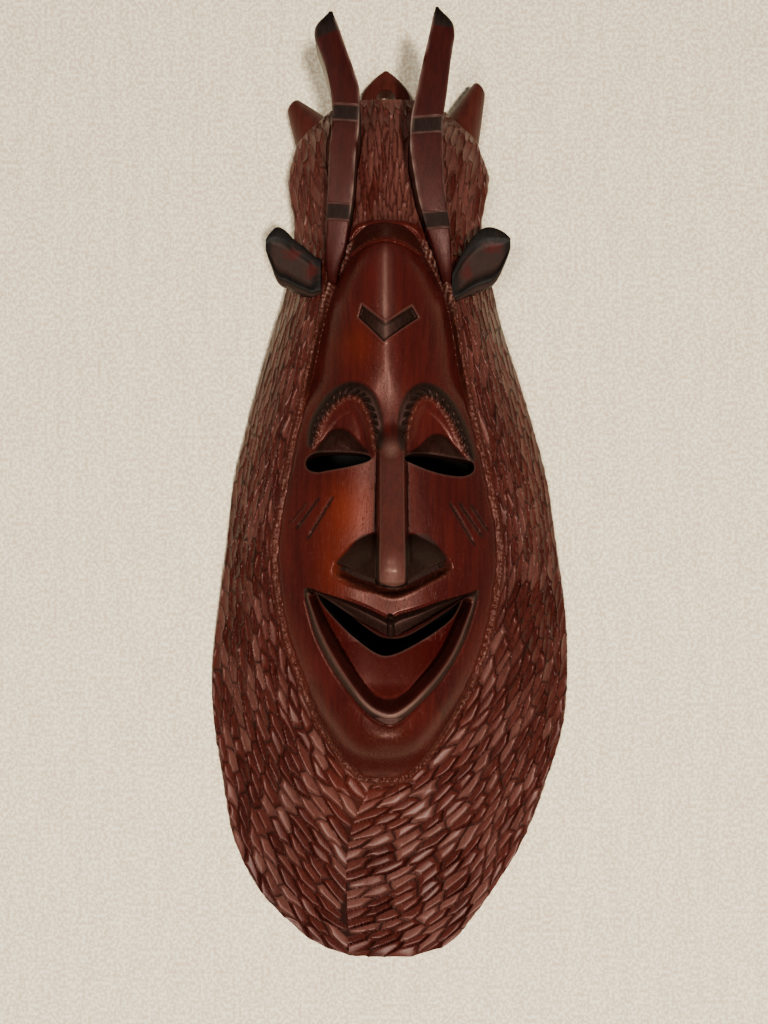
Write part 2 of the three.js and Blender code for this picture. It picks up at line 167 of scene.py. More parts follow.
# %% [markdown]
# ## The block
# The carver first saws the block to its outline and rounds it over: high down the middle of the face,
# falling to a thin edge all round the mane and beard. Three curves hold that shape.

# %% The shape of the block
# [y, left edge, right edge]
OUTLINE = curve_through([
    [-248, -20, 12], [-244, -33, 27], [-239, -43.5, 36], [-230, -55, 44], [-211, -73, 58],
    [-183, -87, 75], [-150, -93.5, 88], [-118, -98.5, 97.5], [-90, -100, 100], [-58, -97, 99],
    [-12, -91, 93], [21, -87, 88], [44, -81.5, 82], [68, -75.5, 75], [107, -63.5, 62],
    [123, -57.5, 57.5], [140, -53, 52], [156, -51.5, 49.5], [170, -53.5, 52], [181, -54.5, 53.5],
    [193, -52, 50], [200, -49.5, 47.5], [216, -33.5, 31],
])
# [y, left border of the face, right border of the face]
BORDER_ROWS = [
    [-248, -14, 8], [-200, -14, 8], [-150, -12, 5], [-141, -13, 6], [-136, -19, 13],
    [-129, -26, 20], [-107, -39, 34], [-85, -47.5, 45], [-59, -56, 53], [-24, -60.5, 58],
    [8, -56.5, 54], [64, -44, 40], [112, -32, 30], [133, -22, 19], [150, -18, 14], [216, -15, 11],
]
BORDER = curve_through(BORDER_ROWS)
# [y, height at the middle, height at the border, height at the edge]
HEIGHTS = curve_through([
    [-248, 10, 10, 10], [-200, 21, 20, 10], [-150, 30, 29, 10], [-139, 34, 31, 10],
    [-120, 52, 32, 10], [-85, 55, 34, 10], [-24, 56, 34, 10], [30, 58, 38, 10], [75, 62.5, 43, 10],
    [95, 65.5, 46, 11], [112, 68, 48, 13], [123, 68, 49, 17], [133, 64, 50, 21], [150, 50, 50, 27],
    [200, 48, 47, 27], [216, 41, 40, 27],
])
HOLLOW = {"centre": (-0.5, -10.0, 0.0), "radii": (52.0, 118.0, 41.0)}


def block_height(x, y):
    left, right = OUTLINE(y)
    left_border, right_border = BORDER(y)
    middle, side, edge = HEIGHTS(y)
    centre = (left_border + right_border) / 2
    in_face = np.abs(x - centre) / ((right_border - left_border) / 2)
    face = side + (middle - side) * (1 - np.minimum(in_face, 1) ** 2.4)
    on_left = x < centre
    from_edge = np.where(on_left, (x - left) / (left_border - left), (right - x) / (right - right_border))
    hair = edge + (side - edge) * np.sin(np.clip(from_edge, 0, 1) * np.pi / 2)
    return np.where(in_face <= 1, face, hair)


print("height at the forehead's middle", round(float(block_height(np.array([0.0]), np.array([112.0]))[0]), 2))

# %% [markdown]
# ## The drawing of the face
# Every feature is drawn on the block before it is cut, first the edge of the face, the brows and the
# hollows of the eyes. Left and right differ, because the real one is cut by eye.

# %% The drawing of the face
FACE_EDGE = [(left, y) for y, left, right in BORDER_ROWS[3:14]][::-1] + [
    (right, y) for y, left, right in BORDER_ROWS[3:14]] + [(12, 145), (-2, 147), (-16, 145)]
FACE_EDGE = round_off(FACE_EDGE, True, 5)


def turn_of(outline):
    """+1 for an outline drawn anticlockwise, -1 for a clockwise one."""
    x, y = outline.T
    return np.sign(np.sum(x * np.roll(y, -1) - y * np.roll(x, -1)))


EDGE_TURN = turn_of(FACE_EDGE)
KEEL = curve_through([[30, 0.5], [60, -0.8], [100, -2.4], [150, -2.4]])
BROWS = [
    round_off([(-40.6, 36), (-38.6, 46), (-33.5, 54), (-27.9, 59.7), (-21.6, 62.6), (-14.8, 61.6),
               (-9.9, 56.5), (-7, 49.5), (-5.6, 42), (-5.3, 34)], False),
    round_off([(42.4, 29), (39.6, 37), (36.3, 45), (31.8, 52.6), (26.1, 59.2), (19.8, 62.4),
               (14, 61.2), (9.6, 56.5), (6.9, 49.5), (5.6, 41.5), (5.6, 33.5)], False),
]
SOCKETS = [
    round_off([(-39.5, 33), (-37, 42), (-31.5, 51), (-25, 56.2), (-19, 57.8), (-13.5, 54),
               (-10.2, 47), (-8.6, 38), (-8.8, 29), (-20, 27), (-32, 27)], True),
    round_off([(41, 26), (38, 35), (34, 44), (28.5, 51.5), (22, 56.5), (16, 56.5), (11.2, 50),
               (9, 41), (8.2, 31), (20, 24.5), (32, 23)], True),
]
print("face edge", len(FACE_EDGE), "points, brows", [len(brow) for brow in BROWS])

# %% [markdown]
# The eyes are nearly shut. A lid bulges over each slit, and the slit itself is cut right through.

# %% Lids and slits
LIDS = [
    round_off([(-37.5, 34.5), (-34, 38.5), (-30.5, 42.5), (-25.4, 43.8), (-20.5, 42), (-15.7, 37),
               (-10.3, 31), (-16, 27.5), (-28, 27.5), (-37, 29)], True),
    round_off([(9, 29.8), (13.8, 34.2), (19.8, 39.8), (24, 41.2), (28.8, 39.8), (32.5, 36),
               (38, 30), (40, 26), (28, 24), (15, 25.5)], True),
]
SLITS = [
    round_off([(-43.2, 26.4), (-41.6, 23), (-37, 21.6), (-31, 22.4), (-20.7, 24), (-12, 26.2),
               (-9.6, 28.2), (-13, 30.2), (-23, 31.2), (-31, 31.5), (-37.5, 31.3), (-41.4, 29.6)], True),
    round_off([(7.2, 27.6), (12.1, 25), (20.2, 22), (29, 20), (37, 19.6), (42, 21.4), (43.4, 24.6),
               (41, 27.6), (29, 29.2), (18.1, 30.4), (10, 30)], True),
]
print("slit widths", [round(float(np.ptp(slit[:, 0])), 1) for slit in SLITS])

# %% [markdown]
# The nose is a straight bar that climbs to a blunt tip. Wings spread from the tip, and a step and a
# ledge are cut under them.

# %% Nose
NOSE_MIDDLE, NOSE_HALF = 0.8, 6.0
# [y, height of the ridge]
NOSE_TOP = curve_through([
    [-36, 70], [-32.5, 79], [-28, 83], [-22, 83.4], [0, 75.5], [20, 68], [35, 63.5], [46, 60],
])
WINGS = [
    round_off([(-27.6, -24.6), (-22, -18.2), (-16.5, -11.4), (-11, -9), (-4, -11), (1.5, -20), (1.5, -35),
               (-5.8, -32.6), (-15.4, -29.6), (-23, -26.6)], True),
    round_off([(29.4, -23), (25.4, -16.6), (20.6, -11), (15.4, -9), (8, -10.6), (0, -20), (1.5, -35),
               (8.6, -32.4), (17.8, -27.8), (24, -25)], True),
]
UNDER_NOSE = round_off([(-28.4, -24.4), (-22, -26.8), (-15.4, -30), (-5.8, -33), (1.5, -35.4), (8.6, -33),
                        (18, -28.4), (30.4, -22.8)], False)
LEDGE = round_off([(-31.3, -29.5), (-20, -34.8), (-6, -38.4), (4, -38.6), (13.8, -36), (24.7, -30),
                   (33.3, -22.6)], False)
print("nose", round(float(NOSE_TOP(-36)[0])), "to", round(float(NOSE_TOP(-22)[0])), "mm over the back")

# %% [markdown]
# The smile is three outlines inside each other: the lips' outer edge, their inner edge, and the gap
# that is cut right through between the upper lip and the tongue.

# %% Mouth
MOUTH = round_off([
    (-37.4, -40.4), (-30, -44.2), (-20, -50.6), (-11, -57.6), (-4.6, -61.6), (2, -62.4), (7.9, -61.4),
    (14, -58.4), (22, -53.4), (30, -48.4), (37.4, -43.6), (34.5, -50.6), (30.7, -55.2),
    (24, -60), (17.8, -63.8), (5.4, -70), (-2.1, -72), (-8, -70.2), (-16, -64.8), (-23.4, -58.6),
    (-31.9, -49.9), (-36, -44.6),
], True, 4)
LIP_OUTER = round_off([
    (-43.8, -38), (-41.8, -50), (-37.4, -64), (-28.4, -80.2), (-15.2, -96.6), (-6, -103.4),
    (0, -105), (5.8, -103.4), (14, -96.6), (25.8, -85.2), (36.7, -68.8), (43, -52),
    (45.8, -39.6), (40, -40.4), (24.8, -44), (14, -47.6), (4.4, -50.2), (0, -52.6), (-4.4, -50.4),
    (-14, -46), (-24, -42.4), (-33.9, -39.8),
], True, 4)
LIP_INNER = round_off([
    (-38, -41), (-34.8, -51), (-27.4, -64.6), (-15.2, -83), (-7.4, -91.2), (0.4, -93),
    (7, -90.6), (12.4, -86), (25.8, -71.6), (33.8, -56.6), (38.6, -43.8), (20, -56), (1, -63.4),
    (-20, -54),
], True, 4)
NUB = [(0.2, -51.5), (0.2, -60.2)]
print("mouth", round(float(np.ptp(MOUTH[:, 0])), 1), "mm wide")

# %% [markdown]
# Last come the small marks: a chevron and a headband on the forehead, three scars on each cheek, and
# the line where the beard is parted.

# %% Small marks
CHEVRON = [(-15.9, 97.2), (-14, 103.2), (-2.4, 93.2), (10.6, 102.4), (14.2, 97.2), (-3.2, 84.4)]
SCARS = [
    ((-36.5, 8), (-48, -7)), ((-29, 8.6), (-42, -12)), ((-43, 6), (-52, -4)),
    ((30.5, 5.5), (43.5, -15.5)), ((35.5, 5.5), (47.5, -11)), ((42, 4.5), (51, -8)),
]
HEADBAND = round_off([
    (-23, 134.6), (-17, 141), (-11, 145.4), (-2.6, 146.6), (6.5, 145.4), (12.5, 140.6), (18, 133.4),
    (14.6, 130.8), (6, 133.4), (-2.6, 134.6), (-12, 133.4), (-20.4, 130.6),
], True, 4)
PARTING_TOP = -141
PARTING = round_off([(-8, -141), (-17.3, -160), (-22.5, -178), (-23.6, -200), (-23.4, -232)], False)
print("scars", len(SCARS), "and a parting down to", PARTING[-1, 1])

# %% [markdown]
# ## Measuring from the drawing
# To cut a feature we ask, for every point of the wood, how far it lies from the feature's outline. The
# answers are worked out once and shared by the cutting and the painting. Points far off are skipped.

# %% Measuring from the drawing
def near(x, y, points, reach):
    p = np.array(points)
    low, high = p.min(0) - reach, p.max(0) + reach
    return (x > low[0]) & (x < high[0]) & (y > low[1]) & (y < high[1])


def inside_of(x, y, outline, reach=8.0):
    """Signed distance to an outline where it is near, and far outside elsewhere."""
    gap = np.full(x.shape, 99.0)
    pick = near(x, y, outline, reach)
    gap[pick] = outline_distance(x[pick], y[pick], outline)
    return gap


def beside(x, y, path, reach=8.0):
    gap, share, side = np.full(x.shape, 99.0), np.zeros(x.shape), np.ones(x.shape)
    pick = near(x, y, path, reach)
    gap[pick], share[pick], side[pick] = path_distance(x[pick], y[pick], path)
    return gap, share, side


def brow_cuts(x, y, brow, inner_side):
    """How far the brow stands up, its notches, and the scratched line along its inner edge."""
    gap, share, side = beside(x, y, brow)
    across = gap * side * inner_side
    half = 1.9 + 1.6 * np.sin(np.pi * np.clip(share, 0, 1)) ** 0.7
    rise = 0.7 * (1 - soft_step(np.abs(across), half * 0.2, half * 1.3))
    tooth = (share * 17 + across * 0.2 + 0.15 * wobble(x, y, 7, 3)) % 1
    notch = np.clip(1.25 - np.abs(tooth - 0.5) * 3.6, 0, 1) * soft_step(across, -0.4, 1.0)
    notch = notch * (1 - soft_step(across, half, half + 1.2)) * soft_step(share, 0.0, 0.06)
    scratch = bell(across - half - 0.9 - 0.4 * wobble(x, y, 3, 4), 0.85)
    return rise, notch, scratch, across, half


def face_parts(x, y):
    """Everything drawn on the face, each as a distance or a strength, worked out once."""
    gap, share, side = beside(x, y, np.concatenate([FACE_EDGE, FACE_EDGE[:1]]), 14)
    parts = {"edge": np.where(gap > 90, 99, -gap * side * EDGE_TURN), "round": share}
    parts["sockets"] = [inside_of(x, y, s) for s in SOCKETS]
    parts["lids"] = [inside_of(x, y, s) for s in LIDS]
    parts["brows"] = [brow_cuts(x, y, BROWS[0], -1), brow_cuts(x, y, BROWS[1], 1)]
    parts["wings"] = [inside_of(x, y, s) for s in WINGS]
    parts["under"] = beside(x, y, UNDER_NOSE)
    parts["ledge"] = beside(x, y, LEDGE)
    parts["outer"] = inside_of(x, y, LIP_OUTER)
    parts["inner"] = inside_of(x, y, LIP_INNER)
    parts["mouth"] = inside_of(x, y, MOUTH)
    parts["nub"] = beside(x, y, NUB)[0]
    parts["chevron"] = inside_of(x, y, CHEVRON)
    parts["scars"] = [beside(x, y, s) for s in SCARS]
    parts["band"] = inside_of(x, y, HEADBAND)
    return parts


def from_nose_middle(x):
    return np.abs(x - NOSE_MIDDLE)


def tapered(share, reach):
    """1 along most of a cut, falling to 0 at both of its ends."""
    return np.clip(np.minimum(share, 1 - share) * reach, 0, 1)


def across_the_lip(parts):
    """0 at the lips' outer edge, 1 at their inner edge."""
    outer, inner = parts["outer"], parts["inner"]
    return np.clip(-outer / np.maximum(-outer + np.maximum(inner, 0), 0.01), 0, 1)


def above_the_mouth(x, y):
    """1 on the upper lip's side of the mouth, 0 on the lower lip's side."""
    return soft_step(y - (-62 + np.abs(x - 1) * 0.55), -1.0, 0.5)


spot = face_parts(np.array([0.0]), np.array([97.0]))
print("from the forehead's middle to the face's edge", round(float(spot["edge"][0]), 1))

# %% [markdown]
# ## Cutting the face
# Each feature raises or lowers the surface. The forehead is planed to a soft keel, the eye hollows are
# scooped, and the lids and notched brows are left standing in and round them.

# %% Forehead and eyes
KEEL_RISE, KEEL_FALL = 1.5, 0.24
SOCKET_DEPTH, LID_RISE, NOTCH_DEPTH, SCRATCH_DEPTH = 4.4, 3.9, 0.85, 0.6


def carve_brows(x, y, z, parts):
    on_face = 1 - soft_step(parts["edge"], -2.0, 0.5)
    u = x - KEEL(y)[0]
    roof = KEEL_RISE - KEEL_FALL * (np.sqrt(u**2 + 1.2) - 1.1)
    z = z + roof * soft_step(y, 50, 78) * on_face
    for inside in parts["sockets"]:
        z = z - SOCKET_DEPTH * soft_step(-inside, -1.0, 6.5)
    for inside in parts["lids"]:
        z = z + LID_RISE * np.sqrt(soft_step(-inside, -0.2, 8.0))
    for rise, notch, scratch, _, _ in parts["brows"]:
        z = z + rise - NOTCH_DEPTH * notch - SCRATCH_DEPTH * scratch * (0.6 + 0.4 * wobble(x, y, 1.7, 6))
    return z


print("eye hollows", SOCKET_DEPTH, "mm deep, lids", LID_RISE, "mm high")

# %% [markdown]
# The wings are high at the ridge and run out to a point. The ridge is laid over them, and then a step
# is cut straight down under both, with a ledge below it.

# %% Nose, wings and the step under them
WING_RISE, UNDER_NOSE_DEPTH, LEDGE_DEPTH = 14.5, 6.5, 0.7


def carve_wings(x, y, z, parts):
    a = from_nose_middle(x)
    flare = np.clip(1 - (a - 5) / 24, 0, 1)
    rise = 1.2 + WING_RISE * flare * (2 - flare) * (0.55 + 0.45 * flare)
    fall = np.clip((-9.2 - 0.55 * np.maximum(a - 10, 0) - y) / 15, 0, 1)
    dome = np.sin(fall * np.pi / 2) ** 1.1
    for inside in parts["wings"]:
        z = np.where(inside < 0, z + rise * dome * soft_step(-inside, -0.3, 1.0), z)
    return z


def carve_ridge(x, y, z):
    a = from_nose_middle(x)
    ridge = NOSE_TOP(y)[0] - 2.3 * np.clip(a / NOSE_HALF, 0, 1.4) ** 2.6
    drop = soft_step(a, NOSE_HALF - 0.3, NOSE_HALF + 2.6)
    nose = ridge * (1 - drop) + (z - 0.9 * bell(a - NOSE_HALF - 2.2, 0.8)) * drop
    along = soft_step(y, -37.2, -33.6 + 0.12 * a) * (1 - soft_step(y, 33, 47))
    on_nose = (y > -38) & (y < 47) & (a < NOSE_HALF + 4)
    return np.where(on_nose, z + (np.maximum(nose, z * drop + nose * (1 - drop)) - z) * along, z)


def carve_step(z, parts):
    gap, share, side = parts["under"]
    below = gap * -side
    cut = soft_step(below, -1.2, -0.3) * (1 - soft_step(below, 2.4, 6.5)) * tapered(share, 9)
    gap, share, _ = parts["ledge"]
    return z - UNDER_NOSE_DEPTH * cut - LEDGE_DEPTH * bell(gap, 0.9) * tapered(share, 9)


print("wings", WING_RISE, "mm high at the ridge")

# %% [markdown]
# The lower lip is a rounded bead. The upper one is a flat plane that tilts in, with a small nub in its
# middle. The floor of the mouth lies lower than both, and the chin swells below.

# %% Lips and chin
LIP_RISE, NUB_RISE, CHIN_RISE = 4.4, 2.2, 2.4


def carve_lips(x, y, z, parts):
    outer, inner = parts["outer"], parts["inner"]
    t = across_the_lip(parts)
    crest = np.where(t < 0.5, t / 0.5, 1 - (t - 0.5) / 0.5)
    bead = LIP_RISE * np.minimum(crest * 1.12, 1) ** 0.9 - 2.6 * soft_step(t, 0.5, 1)
    plane = 1.8 * np.minimum(t * 5, 1) - 3.0 * soft_step(t, 0.15, 1)
    upper = soft_step(y, -64, -60) * above_the_mouth(x, y) > 0.5
    z = np.where((outer < 0) & (inner > 0), z + np.where(upper, plane, bead), z)
    z = np.where(inner <= 0, z - 2.6 - 0.2 * np.clip(y + 93, 0, 28), z)
    z = z - 0.7 * bell(outer - 0.5, 0.55) * soft_step(-y, 40, 46)
    z = z + NUB_RISE * np.sqrt(np.clip(1 - (parts["nub"] / 1.7) ** 2, 0, 1))
    return z + CHIN_RISE * np.exp(-(((x + 1.5) / 12) ** 2) - ((y + 111.5) / 6.5) ** 2)


print("lower lip", LIP_RISE, "mm proud, chin", CHIN_RISE)

# %% [markdown]
# The chevron is sunk with a flat chisel, the scars are single knife strokes, and the headband is left
# a little proud. The border between face and hair is a torn roll beside the brow, and a row of punch
# marks lower down.

# %% Knife cuts and the border
CHEVRON_DEPTH, SCAR_DEPTH, HEADBAND_RISE = 1.7, 1.1, 2.0


def carve_marks(z, parts):
    chevron, band = parts["chevron"], parts["band"]
    z = z - CHEVRON_DEPTH * soft_step(-chevron, -0.1, 1.1) + 0.35 * bell(chevron - 0.5, 0.6)
    for gap, share, _ in parts["scars"]:
        z = z - SCAR_DEPTH * np.clip(1 - gap / 1.1, 0, 1) * np.maximum(tapered(share, 6), 0.25)
    return z + HEADBAND_RISE * soft_step(-band, -0.2, 0.7) - 0.8 * bell(band - 0.8, 0.7) * (band < 30)


def carve_face(x, y, z, parts):
    z = carve_brows(x, y, z, parts)
    z = carve_ridge(x, y, carve_wings(x, y, z, parts))
    z = carve_lips(x, y, carve_step(z, parts), parts)
    return carve_marks(z, parts)


def border_roll(x, y, z, parts):
    edge = parts["edge"] + 0.45 * wobble(x, y, 9, 8)
    open_top = 1 - soft_step(y, 134, 142)
    wide = 1.5 + 1.3 * soft_step(y, 92, 112) * np.where(x > 0, 1, 0.35)
    roll = np.sqrt(np.clip(1 - ((edge - 0.9) / wide) ** 2, 0, 1)) * open_top
    roll = roll * (0.5 + 0.5 * soft_step(y, 88, 110))
    torn = wobble(x, y, 2.3, 21) + 0.7 * wobble(x, y, 1.3, 22)
    z = z + roll * (0.9 + 0.5 * torn) - 0.8 * bell(edge + 1.6, 0.7) * open_top
    beat = (parts["round"] * 150 + 0.4 * wobble(x, y, 13, 24)) % 1
    punched = np.clip(1 - ((beat - 0.5) / 0.3) ** 2, 0, 1) * np.clip(1 - ((edge + 0.1) / 1.2) ** 2, 0, 1)
    return z - 0.75 * punched * (1 - soft_step(y, -70, -20)) * soft_step(wobble(x, y, 16, 25), -0.6, 0.2)


print("chevron", CHEVRON_DEPTH, "mm deep, scars", SCAR_DEPTH)

# %% [markdown]
# ## The hair
# The hair is nothing but gouge cuts. Long fine ones run down the temples, leaning leaves fill the mane,
# and in the beard they sweep to both sides of a parting. A table for each side says how the gouge is
# held at some places, and between them its lean, length, width and depth are blended.

# %% The hair
# (x, y, lean in degrees, length, width, depth)
CUTS_LEFT = [
    (-40, 205, 98, 16, 2.9, 1.5), (-45, 165, 101, 17, 3.0, 1.6), (-5, 205, 90, 17, 2.5, 1.4),
    (-5, 170, 92, 18, 2.4, 1.4), (-5, 150, 92, 13, 2.3, 1.2), (-50, 145, 98, 15, 2.8, 1.4),
    (-48, 100, 78, 18, 2.3, 0.9), (-62, 60, 76, 18, 2.4, 0.9), (-72, 20, 80, 16, 2.4, 1.0),
    (-66, -10, 84, 16, 2.8, 1.2), (-88, -15, 88, 14, 3.2, 1.3), (-75, -50, 98, 15, 3.8, 1.6),
    (-92, -70, 96, 15, 3.9, 1.6), (-62, -85, 104, 15, 3.9, 1.6), (-90, -120, 104, 16, 4.2, 1.7),
    (-62, -120, 112, 16, 4.3, 1.8), (-48, -135, 120, 17, 4.6, 1.9), (-84, -155, 110, 17, 4.5, 1.8),
    (-55, -165, 122, 18, 4.9, 2.0), (-35, -165, 132, 18, 4.9, 2.0), (-72, -195, 114, 18, 4.8, 1.9),
    (-45, -200, 128, 19, 5.0, 2.0), (-45, -232, 130, 17, 4.9, 1.9), (-30, -225, 138, 17, 4.8, 1.9),
]
CUTS_RIGHT = [
    (-5, 205, 90, 17, 2.5, 1.4), (-5, 170, 88, 18, 2.4, 1.4), (3, 150, 88, 13, 2.3, 1.2),
    (38, 205, 75, 16, 2.9, 1.5), (42, 165, 82, 17, 3.0, 1.6), (47, 145, 84, 15, 2.8, 1.4),
    (46, 100, 102, 18, 2.3, 0.9), (60, 60, 104, 18, 2.4, 0.9), (70, 20, 100, 16, 2.4, 0.9),
    (64, -10, 96, 16, 2.8, 1.1), (88, -15, 94, 15, 2.9, 1.1), (74, -50, 68, 15, 4.0, 1.6),
    (94, -70, 82, 15, 3.2, 1.3), (62, -85, 62, 16, 4.3, 1.8), (84, -105, 66, 15, 4.0, 1.6),
    (50, -120, 52, 17, 4.6, 1.8), (78, -140, 64, 16, 4.0, 1.6), (30, -143, 40, 18, 4.8, 1.9),
    (0, -160, 24, 18, 5.0, 1.9), (-10, -190, 18, 19, 5.1, 2.0), (-8, -230, 18, 17, 5.0, 1.9),
    (25, -175, 34, 18, 4.9, 1.9), (30, -215, 38, 17, 4.6, 1.8), (58, -165, 56, 16, 4.1, 1.6),
    (60, -190, 60, 15, 3.9, 1.5),
]


def parting_at(y):
    order = np.argsort(PARTING[:, 1])
    return np.interp(y, PARTING[order, 1], PARTING[order, 0])


def cut_settings(x, y):
    """Lean, length, width and depth of the gouge's cuts round each point."""
    settings = []
    for table in (CUTS_LEFT, CUTS_RIGHT):
        t = np.array(table, float)
        weight = 1 / (np.hypot(x[:, None] - t[:, 0], (y[:, None] - t[:, 1]) * 0.8) ** 3 + 30)
        settings.append((weight[:, :, None] * t[:, 2:]).sum(1) / weight.sum(1)[:, None])
    middle = np.where(y < PARTING_TOP, parting_at(y), -2.0)
    return np.where((x < middle)[:, None], settings[0], settings[1]), x < middle


print("the gouge is set at", len(CUTS_LEFT) + len(CUTS_RIGHT), "places")

# %% [markdown]
# The cuts are placed one by one from the crown down, each where no other of its side is too close. One
# could copy a leaf-shaped object onto the wood, but cuts that really overlap look far more like gouging.

# %% Placing the cuts
CUT_TRIES, PARTING_GAP = 60000, 3.0


def has_room(i, x, y, setting, close):
    """Whether a cut is clear of the close ones, by an ellipse that lies along it."""
    lean, length, width, _ = setting
    c, s = np.cos(np.radians(lean)), np.sin(np.radians(lean))
    dx, dy = x[close] - x[i], y[close] - y[i]
    along, over = dx * c + dy * s, dy * c - dx * s
    return not np.any((along / (0.82 * length)) ** 2 + (over / (1.0 * width)) ** 2 < 1)


def place_the_cuts(rng):
    x = rng.uniform(-103, 103, CUT_TRIES)
    y = rng.uniform(-250, 218, CUT_TRIES)
    settings, on_left = cut_settings(x, y)
    left, right = OUTLINE(np.clip(y, GRID_LOW, GRID_HIGH))
    wanted = (x > left - 2) & (x < right + 2) & (inside_of(x, y, FACE_EDGE, 14) > 0.5)
    wanted &= (y > PARTING_TOP) | (np.abs(x - parting_at(y)) > PARTING_GAP)
    order = np.flatnonzero(wanted)
    order = order[np.argsort(-y[order] + rng.normal(0, 0.6, len(order)))]
    x, y, settings, on_left = x[order], y[order], settings[order], on_left[order]
    kept, squares = [], {}
    for i in range(len(x)):
        column, row = int(x[i] // 10), int(y[i] // 10)
        round_it = [squares.get((column + a, row + b), ()) for a in (-1, 0, 1) for b in (-1, 0, 1)]
        close = [k for square in round_it for k in square if on_left[k] == on_left[i]]
        if has_room(i, x, y, settings[i], close):
            kept.append(i)
            squares.setdefault((column, row), []).append(i)
    print("gouge cuts", len(kept))
    return list(zip(x[kept], y[kept], settings[kept], on_left[kept]))


# %% [markdown]
# Each cut is a shallow scoop, deepest past its middle, with its own lean, depth and tone. Where two
# meet, the wood rises to a sharp ridge between them, and painted shade darkens the fine gap.

# %% Cutting the scoops
CELL = 0.35
FIELD_LOW = np.array([-104.0, -252.0])
FIELD_SHAPE = (int(208 / CELL) + 1, int(474 / CELL) + 1)


def scoop_the_hair(seed=11):
    """Maps over the block: how deep the gouge cut, the painted shade in the gaps between cuts, and each cut's
    own tone.
    """
    rng = np.random.default_rng(seed)
    deepest, rival = np.full((2, *FIELD_SHAPE), -1.0)
    floor, tone = np.zeros((2, *FIELD_SHAPE))
    for x, y, setting, on_left in place_the_cuts(rng):
        vary = (1, rng.uniform(0.9, 1.25), rng.uniform(0.9, 1.2), rng.uniform(0.75, 1.2))
        lean, length, width, deep = setting * vary
        lean, tip, shade = lean + rng.normal(0, 4.0), rng.uniform(-0.4, 0.4), rng.uniform(0, 1)
        c, s = np.cos(np.radians(lean)), np.sin(np.radians(lean))
        reach = length * 0.75
        low = np.floor((np.array([x, y]) - reach - FIELD_LOW) / CELL).astype(int)
        high = low + int(2 * reach / CELL) + 2
        low, high = np.maximum(low, 0), np.minimum(high, FIELD_SHAPE)
        window = (slice(low[0], high[0]), slice(low[1], high[1]))
        gx = FIELD_LOW[0] + np.arange(low[0], high[0])[:, None] * CELL - x
        gy = FIELD_LOW[1] + np.arange(low[1], high[1])[None, :] * CELL - y
        along, over = (gx * c + gy * s) / (length * 0.64), gy * c - gx * s
        over = over + 0.1 * length * along**2 * np.where(on_left, 0.5, -0.5)
        across = over / (0.68 * width)
        beyond = (gx + x < parting_at(gy + y)) != on_left
        inside = np.where(beyond & (gy + y < PARTING_TOP), -1, 1 - along**2 - across**2)
        wins = inside > deepest[window]
        rival[window] = np.where(wins, deepest[window], np.maximum(rival[window], inside))
        deepest[window] = np.where(wins, inside, deepest[window])
        bowl = deep * (0.4 + 0.6 * soft_step(along, -1.0, 0.75)) * (1 + tip * across) * (1 - 0.3 * across**2)
        floor[window] = np.where(wins, bowl, floor[window])
        tone[window] = np.where(wins, shade, tone[window])
    clear = np.clip(deepest - np.maximum(rival, 0), 0, 1)
    wall = 1 - (1 - np.clip(clear / 0.8, 0, 1)) ** 2
    return floor * wall * 1.5, 1 - soft_step(clear, 0.0, 0.3), tone


def read_map(field, x, y):
    u = np.clip((x - FIELD_LOW[0]) / CELL, 0, FIELD_SHAPE[0] - 1.001)
    v = np.clip((y - FIELD_LOW[1]) / CELL, 0, FIELD_SHAPE[1] - 1.001)
    i, j = u.astype(int), v.astype(int)
    fu, fv = u - i, v - j
    return ((field[i, j] * (1 - fu) + field[i + 1, j] * fu) * (1 - fv)
            + (field[i, j + 1] * (1 - fu) + field[i + 1, j + 1] * fu) * fv)


GOUGED, SHADED_GAPS, TONES = scoop_the_hair()
print("deepest cut", round(float(GOUGED.max()), 2), "mm")

# %% [markdown]
# ## The whole front
# The height of the front is the block, then the face, then its border, and last the hair. Cuts get
# shallower near the block's edge, where the carver has little wood left.

# %% The whole front
def hair_strength(x, y, parts):
    """1 in the hair, 0 on the face, its border and the headband."""
    return soft_step(parts["edge"], 1.4, 3.2) * soft_step(parts["band"], 0.6, 2.0)


def head_height(x, y):
    parts = face_parts(x, y)
    z = block_height(x, y)
    hair = hair_strength(x, y, parts)
    z = carve_face(x, y, z, parts)
    z = border_roll(x, y, z, parts)
    left, right = OUTLINE(y)
    inboard = np.minimum(np.minimum(x - left, right - x), np.minimum(y - GRID_LOW, GRID_HIGH - y))
    return z - hair * read_map(GOUGED, x, y) * (0.45 + 0.55 * soft_step(inboard, 0, 7))


print("nose tip at", round(float(head_height(np.array([0.5]), np.array([-24.0]))[0]), 1), "mm")

# %% [markdown]
# ## From rows to solids
# Every piece is skinned from a row of cross-sections, like slices of a loaf, and closed at both ends,
# so each is a true solid that a tool can cut. Cutting is a Boolean, as a chisel takes wood away.

# %% Skinning rows of cross-sections
def solid_from(name, rings, crease=38):
    rings = np.asarray(rings, float)
    rows, around = rings.shape[:2]
    index = np.arange(rows * around).reshape(rows, around)
    after = np.roll(index, -1, 1)
    quads = np.stack([index[:-1], after[:-1], after[1:], index[1:]], -1).reshape(-1, 4)
    mesh = bpy.data.meshes.new(name)
    loops = np.concatenate([quads.ravel(), index[0][::-1], index[-1]])
    starts = np.concatenate([np.arange(0, len(quads) * 4, 4), [len(quads) * 4, len(quads) * 4 + around]])
    mesh.vertices.add(rows * around)
    mesh.vertices.foreach_set("co", rings.reshape(-1))
    mesh.loops.add(len(loops))
    mesh.loops.foreach_set("vertex_index", loops.astype(np.int32))
    mesh.polygons.add(len(starts))
    mesh.polygons.foreach_set("loop_start", starts.astype(np.int32))
    mesh.update(calc_edges=True)
    mesh.validate()
    piece = bpy.data.objects.new(name, mesh)
    bpy.context.scene.collection.objects.link(piece)
    outward(mesh)
    smooth(piece, crease)
    return piece


